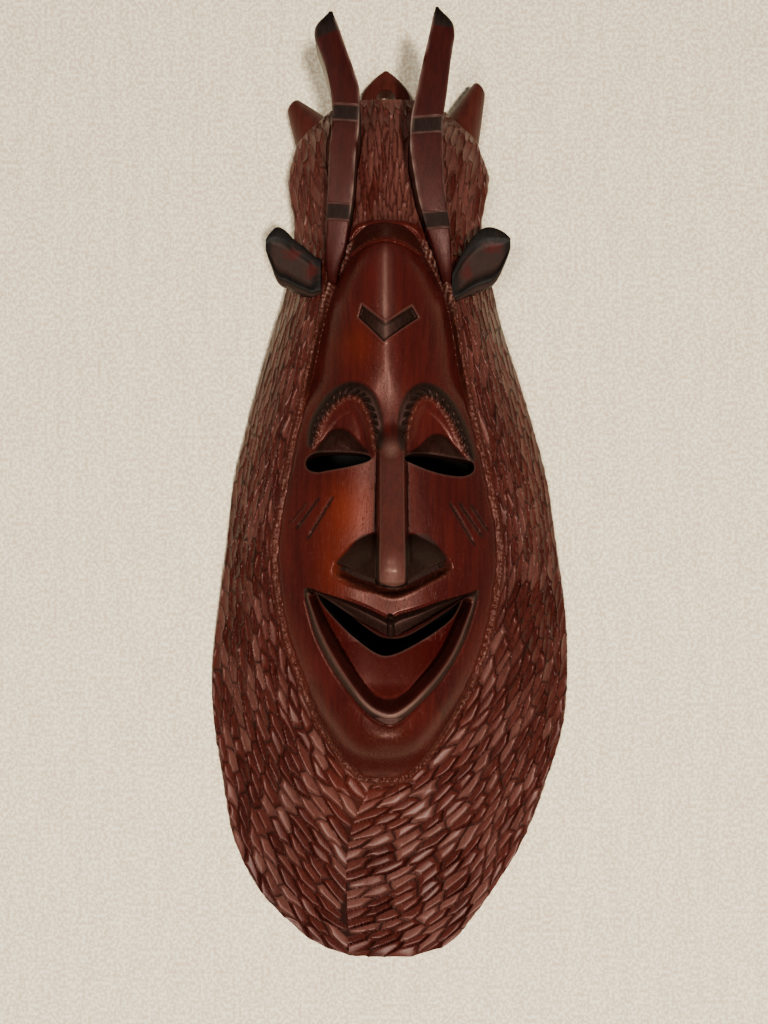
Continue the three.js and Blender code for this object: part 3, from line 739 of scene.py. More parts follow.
def outward(mesh):
    """Turn a closed mesh the right way out, going by its signed volume."""
    co, corners = points_of(mesh), np.zeros(len(mesh.loop_triangles) * 3, np.int32)
    mesh.loop_triangles.foreach_get("vertices", corners)
    a, b, c = (co[corners.reshape(-1, 3)[:, k]] for k in range(3))
    if np.einsum("ij,ij->", a, np.cross(b, c)) < 0:
        mesh.flip_normals()


def smooth(piece, crease):
    piece.data.shade_smooth()
    piece.data.set_sharp_from_angle(angle=np.radians(crease))


def points_of(mesh):
    mesh.calc_loop_triangles()
    co = np.zeros(len(mesh.vertices) * 3, np.float32)
    mesh.vertices.foreach_get("co", co)
    return co.reshape(-1, 3).astype(float)


def cut_away(piece, cutters, crease=38):
    """Cut each solid out of the piece, as a chisel would, and throw the cutters away."""
    for cutter in cutters:
        step = piece.modifiers.new("cut", "BOOLEAN")
        step.operation, step.object, step.solver = "DIFFERENCE", cutter, "MANIFOLD"
        bpy.context.view_layer.objects.active = piece
        before = len(piece.data.vertices)
        bpy.ops.object.modifier_apply(modifier="cut")
        print("cut", cutter.name, before, "->", len(piece.data.vertices))
        bpy.data.objects.remove(cutter)
    smooth(piece, crease)


def punch(name, outline, low, high):
    """An upright plug with the given outline, for cutting a hole."""
    p = np.array(outline)
    return solid_from(name, [to_metres(p[:, 0], p[:, 1], np.full(len(p), z)) for z in (low, high)])


print("tools ready: solid_from, cut_away, punch")

# %% [markdown]
# ## Carving the head
# The head is one block. Its cross-sections follow the carved height, and its hollow back is scooped
# with a big gouge, which leaves long shallow dishes inside.

# %% Carving the head
CHIN_END = -244
RIM_SHARES = (0.0, 0.06, 0.35, 0.7)


def head_solid():
    fine, columns = ((0.52, 400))
    rows = np.concatenate([
        np.linspace(GRID_LOW, CHIN_END, 14)[:-1], np.arange(CHIN_END, GRID_HIGH, fine), [GRID_HIGH],
    ])
    left, right = OUTLINE(rows)
    ragged = 0.22 * wobble(rows, rows * 0, 6, 31), 0.22 * wobble(rows, rows * 0, 7, 32)
    left, right = np.maximum(left + ragged[0], -99.9), np.minimum(right + ragged[1], 99.9)
    t = np.linspace(0, 1, columns)[None, :]
    x = left[:, None] * (1 - t) + right[:, None] * t
    y = np.repeat(rows[:, None], columns, 1)
    z = head_height(x.ravel(), y.ravel()).reshape(x.shape)
    turn = np.minimum(x - left[:, None], right[:, None] - x)
    z = z - 1.1 * np.clip(1 - turn / 1.1, 0, 1) ** 2
    rims = []
    for side, edge in ((0, left), (-1, right)):
        rims.append([to_metres(edge, rows, z[:, side] * share) for share in RIM_SHARES])
    rings = np.concatenate([np.stack(rims[0], 1), to_metres(x, y, z), np.stack(rims[1][::-1], 1)], 1)
    return solid_from("carved_head", rings)


def hollow_cutter():
    steps, around = 150, 220
    lat = np.linspace(0.02, np.pi - 0.02, steps)[:, None]
    lon = np.linspace(0, 2 * np.pi, around, endpoint=False)[None, :]
    unit = np.stack([np.sin(lat) * np.cos(lon), -np.cos(lat) + 0 * lon, np.sin(lat) * np.sin(lon)], -1)
    radii, centre = np.array(HOLLOW["radii"]), np.array(HOLLOW["centre"])
    p = unit * radii
    dishes = np.abs(np.sin(p[..., 0] / 5.2 + 0.5 * wobble(p[..., 0], p[..., 1], 60, 9)))
    ends = np.abs(np.sin(p[..., 1] / 21 + p[..., 0] / 17 + wobble(p[..., 0], p[..., 1], 80, 10)))
    p = p * (1 - 0.02 * (1 - dishes)[..., None] - 0.012 * (1 - ends)[..., None]) + centre
    return solid_from("hollow", to_metres(p[..., 0], p[..., 1], p[..., 2]))


head = head_solid()
cut_away(head, [
    hollow_cutter(), punch("mouth_hole", MOUTH, -3, 95), punch("left_slit", SLITS[0], -3, 95),
    punch("right_slit", SLITS[1], -3, 95),
], 42)

# %% [markdown]
# ## The big horns
# These are square bars with their arrises taken off, so a line of light runs down each edge. They lie
# in grooves in the hair and then curve up and clear of it. The same shape, grown by the glue line,
# later cuts its own groove in the head, so the two always fit.

# %% The big horns
GLUE_LINE = 0.3
HORN_SINK = 4.0
HORN_FOOT, HORN_LIFT, HORN_TIP = 118.0, 190.0, 235.0
# [y, left edge, right edge]
LEFT_HORN = [
    [118, -31.4, -27.4], [125, -32, -25.6], [133.4, -32.2, -22.4], [144.8, -31.4, -20.1],
    [153.5, -30.9, -18.7], [161.4, -30.3, -17.7], [175.4, -29.4, -16.5], [184.5, -28.3, -15],
    [191.6, -27.7, -14.7], [202, -28.6, -14.8], [210.4, -30.6, -17.6], [217.8, -33.4, -20.6],
    [223.8, -35.5, -22.9], [226.6, -34.9, -24], [230.6, -31.7, -25.6], [233.8, -28.8, -26.8],
]
RIGHT_HORN = [
    [118, 27, 31], [125, 24.4, 31.1], [133.4, 21.3, 30.6], [141.9, 17.9, 29.7], [147.7, 16.1, 28.7],
    [155.5, 13.6, 27.3], [165.4, 11.5, 25.9], [175.4, 9.6, 25.4], [183.4, 9.4, 25], [190.6, 10, 25.3],
    [198.8, 12, 26.6], [208.2, 14.1, 27.7], [217.8, 16.4, 28.9], [224.2, 18.1, 29.8],
    [228, 18.9, 28.9], [232.4, 19.9, 25.2], [235.6, 20.8, 22.4],
]
HORN_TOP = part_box("left_horn")[1].z / MM


def horn_levels(x, y):
    """Top and underside of a horn: let into the hair, then curving up and clear of it."""
    foot = block_height(np.full_like(y, x[0]), np.full_like(y, HORN_FOOT))
    top = foot + np.maximum((y - HORN_FOOT) / (HORN_TIP - HORN_FOOT), 0) ** 0.75 * (HORN_TOP - foot)
    housed = np.minimum(block_height(x, np.minimum(y, GRID_HIGH)), 50) - HORN_SINK
    lifted = np.minimum(block_height(x, np.full_like(y, HORN_LIFT)), 50) - HORN_SINK
    clear = np.sin(np.pi / 2 * np.clip((y - HORN_LIFT) / (HORN_TIP - HORN_LIFT), 0, 1))
    under = np.where(y <= HORN_LIFT, housed, lifted + (top - 12 - lifted) * clear)
    return top, under


def bar_section(half, low, high, arris, crown=0.25):
    """A square bar's cross-section, as offsets across and heights, with its arrises taken off."""
    corners = [(1.0, -half, low, 180), (1.0, half, low, 270)]
    corners += [(arris, half, high, 0), (arris, -half, high, 90)]
    u, v = [], []
    for corner, cx, cz, start in corners:
        r = min(corner, half * 0.8)
        ox = cx + (r if cx < 0 else -r)
        oz = cz + (r if start in (180, 270) else -r)
        for angle in np.radians(np.linspace(start, start + 90, 5)):
            u.append(ox + r * np.cos(angle))
            v.append(oz + r * np.sin(angle))
        if start == 0:
            for t in np.linspace(0.8, -0.8, 9):
                u.append(t * (half - r))
                v.append(high + crown * (1 - t * t))
    return np.array(u), np.array(v)


def horn_solid(name, rows, grow=0.0):
    edges = curve_through(rows)
    y = np.arange(rows[0][0], rows[-1][0], 0.5)
    y = np.append(y, rows[-1][0])
    left, right = edges(y)
    x = (left + right) / 2
    top, under = horn_levels(x, y)
    end = soft_step(y, rows[-1][0] - 9, rows[-1][0])
    top = top - 2.2 * end**2
    rings = []
    for i in range(len(y)):
        half = (right[i] - left[i]) / 2 + grow
        low, high = under[i] - grow, top[i] + grow
        u, v = bar_section(half, low + 3.5 * end[i] ** 2, high, 0.95)
        rings.append(to_metres(x[i] + u, np.full(len(u), y[i]), v))
    if grow:
        rings[0] = rings[0] - np.array([0, grow * MM, 0])
    return solid_from(name, rings, 50)


left_horn = horn_solid("left_horn_carved", LEFT_HORN)
right_horn = horn_solid("right_horn_carved", RIGHT_HORN)
print("big horns up to", round(HORN_TOP, 1), "mm")

# %% [markdown]
# ## The ears
# Each ear is a thick leaf of wood with a raised upper rim, a shallow hollow in front and a bevel along
# the bottom. Left and right are cut to different outlines. Each row gives its width at one station.

# %% The ears
# [share of the length, lower edge, upper edge], measured from the ear's own row
LEFT_EAR = [
    [0, -10.9, 6.9], [0.1, -11.9, 9], [0.25, -10.7, 12.6], [0.45, -8.6, 16.6], [0.6, -6.6, 20.9],
    [0.75, -5, 23], [0.8, -3.4, 22.8], [0.87, 1.8, 21.2], [0.95, 7.5, 18.4], [1, 12, 16.1],
]
RIGHT_EAR = [
    [0, -11.8, 3.2], [0.1, -11, 9.6], [0.25, -8.5, 17], [0.4, -6.2, 22.8], [0.56, -4.6, 25.8],
    [0.72, -2.2, 25.6], [0.82, 2, 24.4], [0.9, 7.4, 22.9], [0.96, 12, 21.2], [1, 16.1, 19.6],
]
# side: (row it sits at, length, how deep it is let in, outline)
EARS = {-1: (124, 27.0, 1.5, LEFT_EAR), 1: (121, 30.0, 0.3, RIGHT_EAR)}
EAR_THICK, EAR_HEIGHT = 13.0, 48.0


def ear_solid(name, side, grow=0.0):
    row, length, housing, outline = EARS[side]
    low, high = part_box("left_ear" if side < 0 else "right_ear")
    root = (low.x if side < 0 else high.x) / MM - side * length
    share = np.concatenate([[-housing / length], np.linspace(0, 0.985, 80)])
    lower, upper = curve_through(outline)(np.maximum(share, 0))
    t = np.linspace(-1, 1, 61)
    rings = []
    for s, lo, hi in zip(share, lower, upper):
        middle, half = (lo + hi) / 2, (hi - lo) / 2
        ends = np.clip(min(s * 6, (1 - s) * 6), 0, 1)
        hollow = 1.5 * ends * soft_step(t, -0.86, -0.4) * (1 - soft_step(t, 0.3, 0.66))
        front = -hollow - 1.6 * soft_step(-t, 0.8, 1.0) - 0.7 * np.abs(t) ** 10
        back = 3.2 * np.abs(t) ** 4 + 4.0 * max(s, 0) ** 2 - EAR_THICK
        if grow:
            front, back = 0 * t + grow, 0 * t - EAR_THICK - grow
        across = np.concatenate([t * (half + grow), t[::-1] * (half + grow) * 0.985]) + middle
        level = EAR_HEIGHT + np.concatenate([front, back[::-1]])
        x = root + side * (s * length - grow * (s < 0))
        place = np.stack([0 * across + x, row * STRETCH_Y + SHIFT_Y + across, level], -1)
        rings.append(place * MM)
    return solid_from(name, rings, 42)


left_ear = ear_solid("left_ear_carved", -1)
right_ear = ear_solid("right_ear_carved", 1)
print("ears", EARS[-1][1], "and", EARS[1][1], "mm long")

# %% [markdown]
# ## The side horns and the loop
# The side horns are tapered pegs with a soft ridge along the front, glued to the straight corners of
# the crown. The loop is a drilled tab with eased edges, and a tongue of it goes into the crown.

# %% The side horns and the loop
PEG_HEIGHT, PEG_RADIUS, PEG_TIP_RADIUS = 14.0, 10.8, 3.2


def side_horn_solid(name, side, node):
    pick = 0 if side < 0 else 1
    a, b = (to_metres(OUTLINE(row)[pick], row, PEG_HEIGHT) for row in (200.0, GRID_HIGH))
    wall = (b - a) / np.linalg.norm(b - a)
    normal = np.array([side * abs(wall[1]), abs(wall[0]), 0])
    start = (a + b) / 2 + normal * GLUE_LINE * MM
    low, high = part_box(node)
    tip_x = (low.x if side < 0 else high.x + 1.2 * MM) - side * 1.1 * MM
    tip = np.array([tip_x, high.y + side * 0.8 * MM, start[2]])
    rings = []
    for s in np.concatenate([np.linspace(0, 0.93, 60), 1 - np.geomspace(0.065, 0.0015, 12)]):
        blunt = np.sqrt(max(1 - ((s - 0.93) / 0.07) ** 2, 0)) if s > 0.93 else 1
        radius = PEG_RADIUS * (1 - s) ** 0.95 + PEG_TIP_RADIUS * blunt * s
        angle = np.linspace(0, 2 * np.pi, 48, endpoint=False)
        lift = 1 + 0.10 * np.clip(np.sin(angle), 0, 1) ** 6 - 0.05 * np.cos(2 * angle)
        axis = start + (tip - start) * s
        ring = (1.25 * np.cos(angle) * lift)[:, None] * wall
        ring = ring + (np.sin(angle) * lift)[:, None] * np.array([0, 0, 1.0])
        rings.append(axis + ring * radius * MM)
    return solid_from(name, rings, 60)


# [y, half the tab's width]
TAB = [[216.3, 13.9], [222, 14], [229, 14], [233.5, 13.6], [238, 11], [243, 7], [246, 4], [247.6, 1.6]]
TAB_FOOT, TAB_TOP = TAB[0][0], TAB[-1][0]
TONGUE_LENGTH, TONGUE_HALF = 16, 10
HOLE_RADIUS, HOLE_RISE = 5.2, 15


def loop_solid(name, grow=0.0):
    low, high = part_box("hanging_loop")
    middle = (low.x + high.x) / 2 / MM / STRETCH_X
    half = curve_through(TAB)
    tongue = [GRID_HIGH - TONGUE_LENGTH - grow, TAB_FOOT - 0.01]
    rings = []
    for row in np.concatenate([tongue, np.arange(TAB_FOOT, TAB_TOP, 0.4), [TAB_TOP]]):
        wide = (TONGUE_HALF + grow) if row < TAB_FOOT else float(half(row)[0]) + grow
        ease = 2.1 if row > TAB_FOOT else 0.6
        fall = 2.0 * soft_step(row, 236, TAB_TOP)
        u, v = bar_section(wide, low.z / MM - grow + fall * 0.3, high.z / MM + grow - fall, ease, 0.2)
        rings.append(to_metres(middle + u, np.full(len(u), float(row)), v))
    piece = solid_from(name, rings, 40)
    if not grow:
        angle = np.linspace(0, 2 * np.pi, 64, endpoint=False)
        across, up = HOLE_RADIUS * np.cos(angle), HOLE_RADIUS * np.sin(angle)
        hole = np.stack([middle + across, GRID_HIGH + HOLE_RISE + up], 1)
        cut_away(piece, [punch("hole", hole, -5, 30)], 40)
    return piece


left_side = side_horn_solid("left_side_horn_carved", -1, "left_side_horn")
right_side = side_horn_solid("right_side_horn_carved", 1, "right_side_horn")
loop = loop_solid("hanging_loop_carved")

# %% [markdown]
# ## Letting the pieces in
# The grooves, sockets and the slot for the tongue are cut last, each a glue line wider than its piece.
# Then every piece is hung from the root, and the node of the imported model that it stands for is hidden.

# %% Letting the pieces in
cut_away(head, [
    horn_solid("left_groove", LEFT_HORN, GLUE_LINE), horn_solid("right_groove", RIGHT_HORN, GLUE_LINE),
    ear_solid("left_socket", -1, GLUE_LINE), ear_solid("right_socket", 1, GLUE_LINE),
    loop_solid("tongue_slot", GLUE_LINE),
], 42)
STANDS_FOR = {
    head: "mask_body", left_horn: "left_horn", right_horn: "right_horn", left_ear: "left_ear",
    right_ear: "right_ear", left_side: "left_side_horn", right_side: "right_side_horn", loop: "hanging_loop",
}
for piece, node in STANDS_FOR.items():
    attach(piece, "root")
    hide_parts(node)
    print(piece.name, "stands for", node, len(piece.data.polygons), "faces")

# %% [markdown]
# ## Where the stain, paint and painted light go
# The maker stains the whole head red-brown, then darkens brows, lids and lips with a brush, and some of
# the black is rubbed back off. Painted shade goes into the gaps between cuts, the holes and the step
# under the nose, and painted highlights onto the high places. Each of these is kept as a number from 0
# to 1 at every point of the mesh, which a finish can read by its name.

# %% Masks for the finishes
def write_mask(piece, name, values):
    layer = piece.data.attributes.get(name) or piece.data.attributes.new(name, "FLOAT", "POINT")
    layer.data.foreach_set("value", np.clip(values, 0, 1).astype(np.float32))


def grid_of(piece):
    co = points_of(piece.data) / MM
    return co[:, 0] / STRETCH_X, (co[:, 1] - SHIFT_Y) / STRETCH_Y, co[:, 2]


def patch(x, y, at, size, power=2):
    """A soft oval, 1 in its middle."""
    return np.exp(-(((x - at[0]) / size[0]) ** power) - ((y - at[1]) / size[1]) ** power)


print("points on the head", len(head.data.vertices))

# %% [markdown]
# Black goes on the brows and lids first. The notches of a brow and the scratched line under it are left
# rough and pale.

# %% Paint on the brows and lids
def paint_brows(parts, paint, rough):
    for _, notch, scratch, across, half in parts["brows"]:
        paint = np.maximum(paint, 0.96 - 0.96 * soft_step(np.abs(across), half - 1.2, half + 1.2))
        paint = paint * (1 - 0.5 * scratch)
        inner = soft_step(across, 0.2, 1.2) * (1 - notch) * (1 - soft_step(across, half, half + 1))
        rough = np.maximum(np.maximum(rough, 0.45 * inner), scratch)
    for inside in parts["lids"]:
        paint = np.maximum(paint, 0.8 * soft_step(-inside, -0.1, 0.8))
    return paint, rough


print("brows to paint", len(BROWS))

# %% [markdown]
# Then the grooves beside the nose, the wings and the step under them. The ridge between stays red.

# %% Paint round the nose
def nose_ridge(x, y):
    edge = soft_step(from_nose_middle(x), NOSE_HALF - 0.4, NOSE_HALF + 0.6)
    return (1 - edge) * soft_step(y, -35.6, -34)


def under_nose(parts):
    """The painted shadow in the step under the wings, and the rough ledge below it."""
    gap, share, side = parts["under"]
    below = gap * -side
    step = soft_step(below, -1.6, -0.9) * (1 - soft_step(below, 2.2, 3.4)) * tapered(share, 12)
    ledge = soft_step(below, 2.6, 3.6) * (1 - soft_step(below, 6.0, 8.0)) * tapered(share, 12)
    return step, ledge


def paint_nose(x, y, parts, paint):
    groove = bell(from_nose_middle(x) - NOSE_HALF - 2.0, 0.9)
    paint = np.maximum(paint, 0.8 * (groove * soft_step(y, -30, -22) * (1 - soft_step(y, 24, 34))))
    for inside in parts["wings"]:
        paint = np.maximum(paint, 0.9 * soft_step(-inside, -0.2, 1.2) * (1 - nose_ridge(x, y)))
    # Painted shadow in the step under the wings.
    paint = np.maximum(paint, under_nose(parts)[0])
    return paint * (1 - 0.85 * bell(x - 0.6, 2.8) * soft_step(y, 27, 31) * (1 - soft_step(y, 56, 64)))


print("wings to paint", len(WINGS))

# %% [markdown]
# Last the lips, the chevron, the scars and the headband, then painted shade on the rims of the slits and on
# all that lies inside.

# %% Paint on the lips and the small marks
def lower_lip(x, y, parts):
    return ((parts["outer"] < 0) & (parts["inner"] > 0)) * (1 - above_the_mouth(x, y))


def slit_rim(x, y, parts):
    slits = np.minimum(inside_of(x, y, SLITS[0]), inside_of(x, y, SLITS[1]))
    return np.minimum(slits, parts["mouth"])


def paint_lips(x, y, parts, paint):
    t, bead = across_the_lip(parts), lower_lip(x, y, parts)
    plane = ((parts["outer"] < 0) & (parts["inner"] > -0.5)) * above_the_mouth(x, y)
    paint = np.maximum(paint, 0.9 * plane)
    # The bead is black paint, left darker on its outer bevel and lighter at its crest and inner bevel as
    # painted shade and light.
    paint = np.maximum(paint, bead * (0.8 - 0.5 * soft_step(t, 0.36, 0.5) + 0.2 * soft_step(t, 0.55, 0.9)))
    return np.maximum(paint, 0.9 * (1 - soft_step(parts["nub"], 1.5, 2.4)))


def paint_marks(x, y, parts, paint, painted_shade_inside):
    paint = np.maximum(paint, 0.92 * soft_step(-parts["chevron"], -0.2, 0.5))
    for k, (gap, _, _) in enumerate(parts["scars"]):
        paint = np.maximum(paint, (0.75 if k != 2 else 0.35) * (1 - soft_step(gap, 0.4, 1.3)))
    paint = np.maximum(paint, 0.38 * soft_step(-parts["band"], -0.4, 0.8))
    # Painted shade round the rims of the slits and the mouth, and on all that lies inside.
    paint = np.maximum(paint, 0.8 * (1 - soft_step(slit_rim(x, y, parts), 0.1, 0.9)))
    return np.maximum(paint, 0.85 * painted_shade_inside)


print("marks to paint", len(SCARS) + 2)

# %% [markdown]
# Painted highlights go on the forehead's keel, the lip's crest, the nose, the bridge and the rims of the
# chevron and the slits, with painted sheen on the palest gouge cuts. The torn roll shows real wear. Each has
# its own share.

# %% Painted highlights and wear
def highlight_and_wear_of(x, y, parts, roll, lit):
    keel, a, t = x - KEEL(y)[0], from_nose_middle(x), across_the_lip(parts)
    ridge, slit, inner = nose_ridge(x, y), slit_rim(x, y, parts), parts["inner"]
    crest = (0.45 + 0.55 * soft_step(y, 88, 104)) * soft_step(y, 40, 66) * (1 - soft_step(y, 124, 134))
    upper = above_the_mouth(x, y) * (parts["outer"] < 0)
    # Painted highlights on the keel, the lip's crest, the nose tip, the bridge, the chevron's rim, the slits'
    # rims and the upper lip's inner edge; painted sheen on the palest cut floors; real rubbed wear on the
    # torn roll.
    return np.maximum.reduce([
        (0.26 * bell(keel, 1.0) + 0.13 * bell(keel, 3.4)) * crest,
        lower_lip(x, y, parts) * bell(t - 0.42, 0.09) * (0.2 + 0.4 * soft_step(-y, 84, 98)),
        0.3 * ridge * bell(y + 28, 7) * bell(a, 4) + 0.1 * ridge * (1 - soft_step(y, 22, 34)),
        0.3 * patch(x, y, (0.5, 32), (4, 4.5)),
        0.16 * bell(parts["chevron"] - 0.2, 0.4),
        0.1 * bell(slit - 0.5, 0.4),
        0.22 * bell(inner + 0.2, 0.5) * upper,
        0.7 * roll * soft_step(y, 96, 116) * soft_step(wobble(x, y, 2.1, 51), -0.1, 0.5),
        lit * (0.1 + 0.08 * soft_step(-y, -30, 10) + 0.05 * soft_step(y, 138, 152)),
    ])


# The keel's paler line is a painted highlight.
print("wear on the keel", round(float(0.39 * bell(0.0, 1.0)), 2))

# %% [markdown]
# Some places glow orange through the stain, on the left cheek and brow and in the beard. Painted shade
# makes the chin and the floor of the mouth deepest red. The crown's cuts are paler and the painted shade in
# their gaps is lighter.

# %% Painting the head
def glow_of(x, y, ridge, hair):
    cheek = 0.9 * patch(x, y, (-20, 2), (11, 15)) * (1 - ridge) * (x < -8)
    return (cheek + 0.55 * patch(x, y, (-27, -28), (9, 16)) + 0.4 * patch(x, y, (-16, 84), (9, 10))
            + 0.4 * patch(x, y, (-15, -150), (22, 25)) * hair)


def paint_head(piece):
    x, y, z = grid_of(piece)
    parts = face_parts(x, y)
    hair, crown = hair_strength(x, y, parts), soft_step(y, 138, 152)
    # Painted shade on everything sunk below the carved front: the walls of the holes, the hollow and the
    # back.
    painted_shade_inside = soft_step(head_height(x, y) - z, 0.6, 1.8)
    gaps, tones = read_map(SHADED_GAPS, x, y), read_map(TONES, x, y) + 0.55 * crown
    paint, rough = paint_brows(parts, np.zeros(len(x)), np.zeros(len(x)))
    paint = paint_lips(x, y, parts, paint_nose(x, y, parts, paint))
    paint = paint_marks(x, y, parts, paint, painted_shade_inside)
    step, ledge = under_nose(parts)
    roll = bell(parts["edge"] - 0.4, 1.9) * (1 - soft_step(y, 134, 142))
    # The rough patches at the chin and the bridge are real rough texture whose pale flecks are painted
    # highlights.
    chin, bridge = patch(x, y, (-2, -110), (10, 5)), patch(x, y, (0.5, 31), (4, 5))
    headband = soft_step(-parts["band"], -0.4, 0.8)
    rough = np.maximum.reduce([rough, roll, ledge, 0.9 * chin, 0.8 * bridge, 0.3 * headband])
    # Painted sheen on the palest cut floors, clear of the gaps, with a little more in the beard and the
    # crown.
    lit = soft_step(tones, 0.5, 1.0) * (1 - gaps) * hair
    # Painted shade under the chin and on the floor of the mouth.
    deep = patch(x, y, (-1, -122), (20, 13), 4) + 0.8 * soft_step(-parts["inner"], 0, 2.5)
    masks = {
        # gap: painted shade in the gaps between cuts and in the step under the nose.
        "paint": paint, "hair": hair, "gap": np.maximum(gaps * (1 - 0.4 * crown) * hair, step),
        "tone": tones, "deep": deep * (1 - hair), "rough": rough,
        "glow": glow_of(x, y, nose_ridge(x, y), hair),
        "paler_mark": highlight_and_wear_of(x, y, parts, roll, lit) * (1 - painted_shade_inside),
    }
    for name, values in masks.items():
        write_mask(piece, name, values)
    print("painted", piece.name, len(x), "points")


paint_head(head)

# %% [markdown]
# A horn has two black bands with scored edges and a black tip, and a pale painted highlight runs along its
# polished arrises.
# An ear is nearly black with patches rubbed back to red, and its hollow is a little browner.

# %% Painting the horns and ears
# (top, foot) of each black band, left and right
HORN_BANDS = [[(152.1, 146), (194.2, 188.6)], [(148.5, 142.4), (189.2, 183.6)]]
# (foot of the black tip, how it slants), left and right
HORN_TIP_LINE = [(224.6, 0.35), (226.4, -0.12)]
# (x, y, width, height) of the red patches
RED_PATCHES = {
    -1: [(-40.3, 124.5, 4.5, 5.5), (-50, 133, 6, 4)],
    1: [(52.6, 136.6, 6.5, 3.6), (39.3, 123.8, 4, 6)],
}


def paint_horn(piece, rows, bands, tip_line, side):
    x, y, z = grid_of(piece)
    left, right = curve_through(rows)(y)
    inner, outer = (right - x, x - left) if side < 0 else (x - left, right - x)
    proud = soft_step(z - horn_levels(x, y)[0], -1.6, -0.4) * soft_step(y, 140, 160)
    arris = (0.85 * bell(inner - 0.35, 0.45) + 0.3 * bell(outer - 0.35, 0.4)) * proud
    lean = y - 0.06 * side * (x - x.mean())
    paint, score = np.zeros(len(x)), np.zeros(len(x))
    for high, low in bands:
        below_top = 1 - soft_step(lean, high - 0.2, high + 0.2)
        paint = np.maximum(paint, soft_step(lean, low - 0.2, low + 0.2) * below_top)
        for edge in (high + 0.5, low - 0.5):
            score = np.maximum(score, bell(lean - edge, 0.35))
    start, slope = tip_line
    paint = np.maximum(paint, soft_step(y - slope * (x - x.mean()), start, start + 0.8))
    write_mask(piece, "paint", paint)
    write_mask(piece, "rough", score)
    # Painted highlight along the arrises.
    write_mask(piece, "paler_mark", arris * (0.55 + 0.45 * wobble(x, y, 7, 52)))


def paint_ear(piece, side):
    x, y, z = grid_of(piece)
    red = np.zeros(len(x))
    for px, py, wide, tall in RED_PATCHES[side]:
        red = np.maximum(red, patch(x, y, (px, py), (wide, tall)))
    write_mask(piece, "paint", 1 - 0.85 * soft_step(red + 0.2 * wobble(x, y, 4, 40), 0.3, 1.0))
    write_mask(piece, "paler_mark", soft_step(EAR_HEIGHT - z, 0.5, 1.4))


paint_horn(left_horn, LEFT_HORN, HORN_BANDS[0], HORN_TIP_LINE[0], -1)
paint_horn(right_horn, RIGHT_HORN, HORN_BANDS[1], HORN_TIP_LINE[1], 1)
paint_ear(left_ear, -1)
paint_ear(right_ear, 1)
print("painted the horns and ears")

# %% [markdown]
# ## Sums on shader values
# A finish is written as sums, so that it reads like a recipe. Each sum adds its own Math node behind
# the scenes, which saves placing and wiring them by hand.

# %% Sums on shader values
class Value:
    """A shader value that can be used in sums."""

    def __init__(self, tree, socket):
        self.tree, self.socket = tree, socket

    def sum(self, kind, *others, clamp=False):
        node = self.tree.nodes.new("ShaderNodeMath")
        node.operation, node.use_clamp = kind, clamp
        for slot, other in zip(node.inputs, (self, *others)):
            if isinstance(other, Value):
                self.tree.links.new(other.socket, slot)
            else:
                slot.default_value = other
        return Value(self.tree, node.outputs[0])

    def constant(self, number):
        node = self.tree.nodes.new("ShaderNodeValue")
        node.outputs[0].default_value = number
        return Value(self.tree, node.outputs[0])

    def __add__(self, other): return self.sum("ADD", other)
    def __radd__(self, other): return self.sum("ADD", other)
    def __sub__(self, other): return self.sum("SUBTRACT", other)
    def __rsub__(self, other): return self.constant(other).sum("SUBTRACT", self)
    def __mul__(self, other): return self.sum("MULTIPLY", other)
    def __rmul__(self, other): return self.sum("MULTIPLY", other)
    def __truediv__(self, other): return self.sum("DIVIDE", other)
    def __rtruediv__(self, other): return self.constant(other).sum("DIVIDE", self)
    def __pow__(self, other): return self.sum("POWER", other)
    def __neg__(self): return self.sum("MULTIPLY", -1.0)
    def most(self, other): return self.sum("MAXIMUM", other)
    def held(self): return self.sum("ADD", 0.0, clamp=True)

    def rising(self, low, high):
        node = self.tree.nodes.new("ShaderNodeMapRange")
        node.interpolation_type = "SMOOTHSTEP"
        self.tree.links.new(self.socket, node.inputs["Value"])
        node.inputs["From Min"].default_value = low
        node.inputs["From Max"].default_value = high
        return Value(self.tree, node.outputs["Result"])


print("sums ready")

# %% [markdown]
# ## Mixing a finish
# A finish owns one material. It can read the masks, lay noise in millimetres along the wood, blend
# colours, turn a height into a bump, and at the end set the surface.

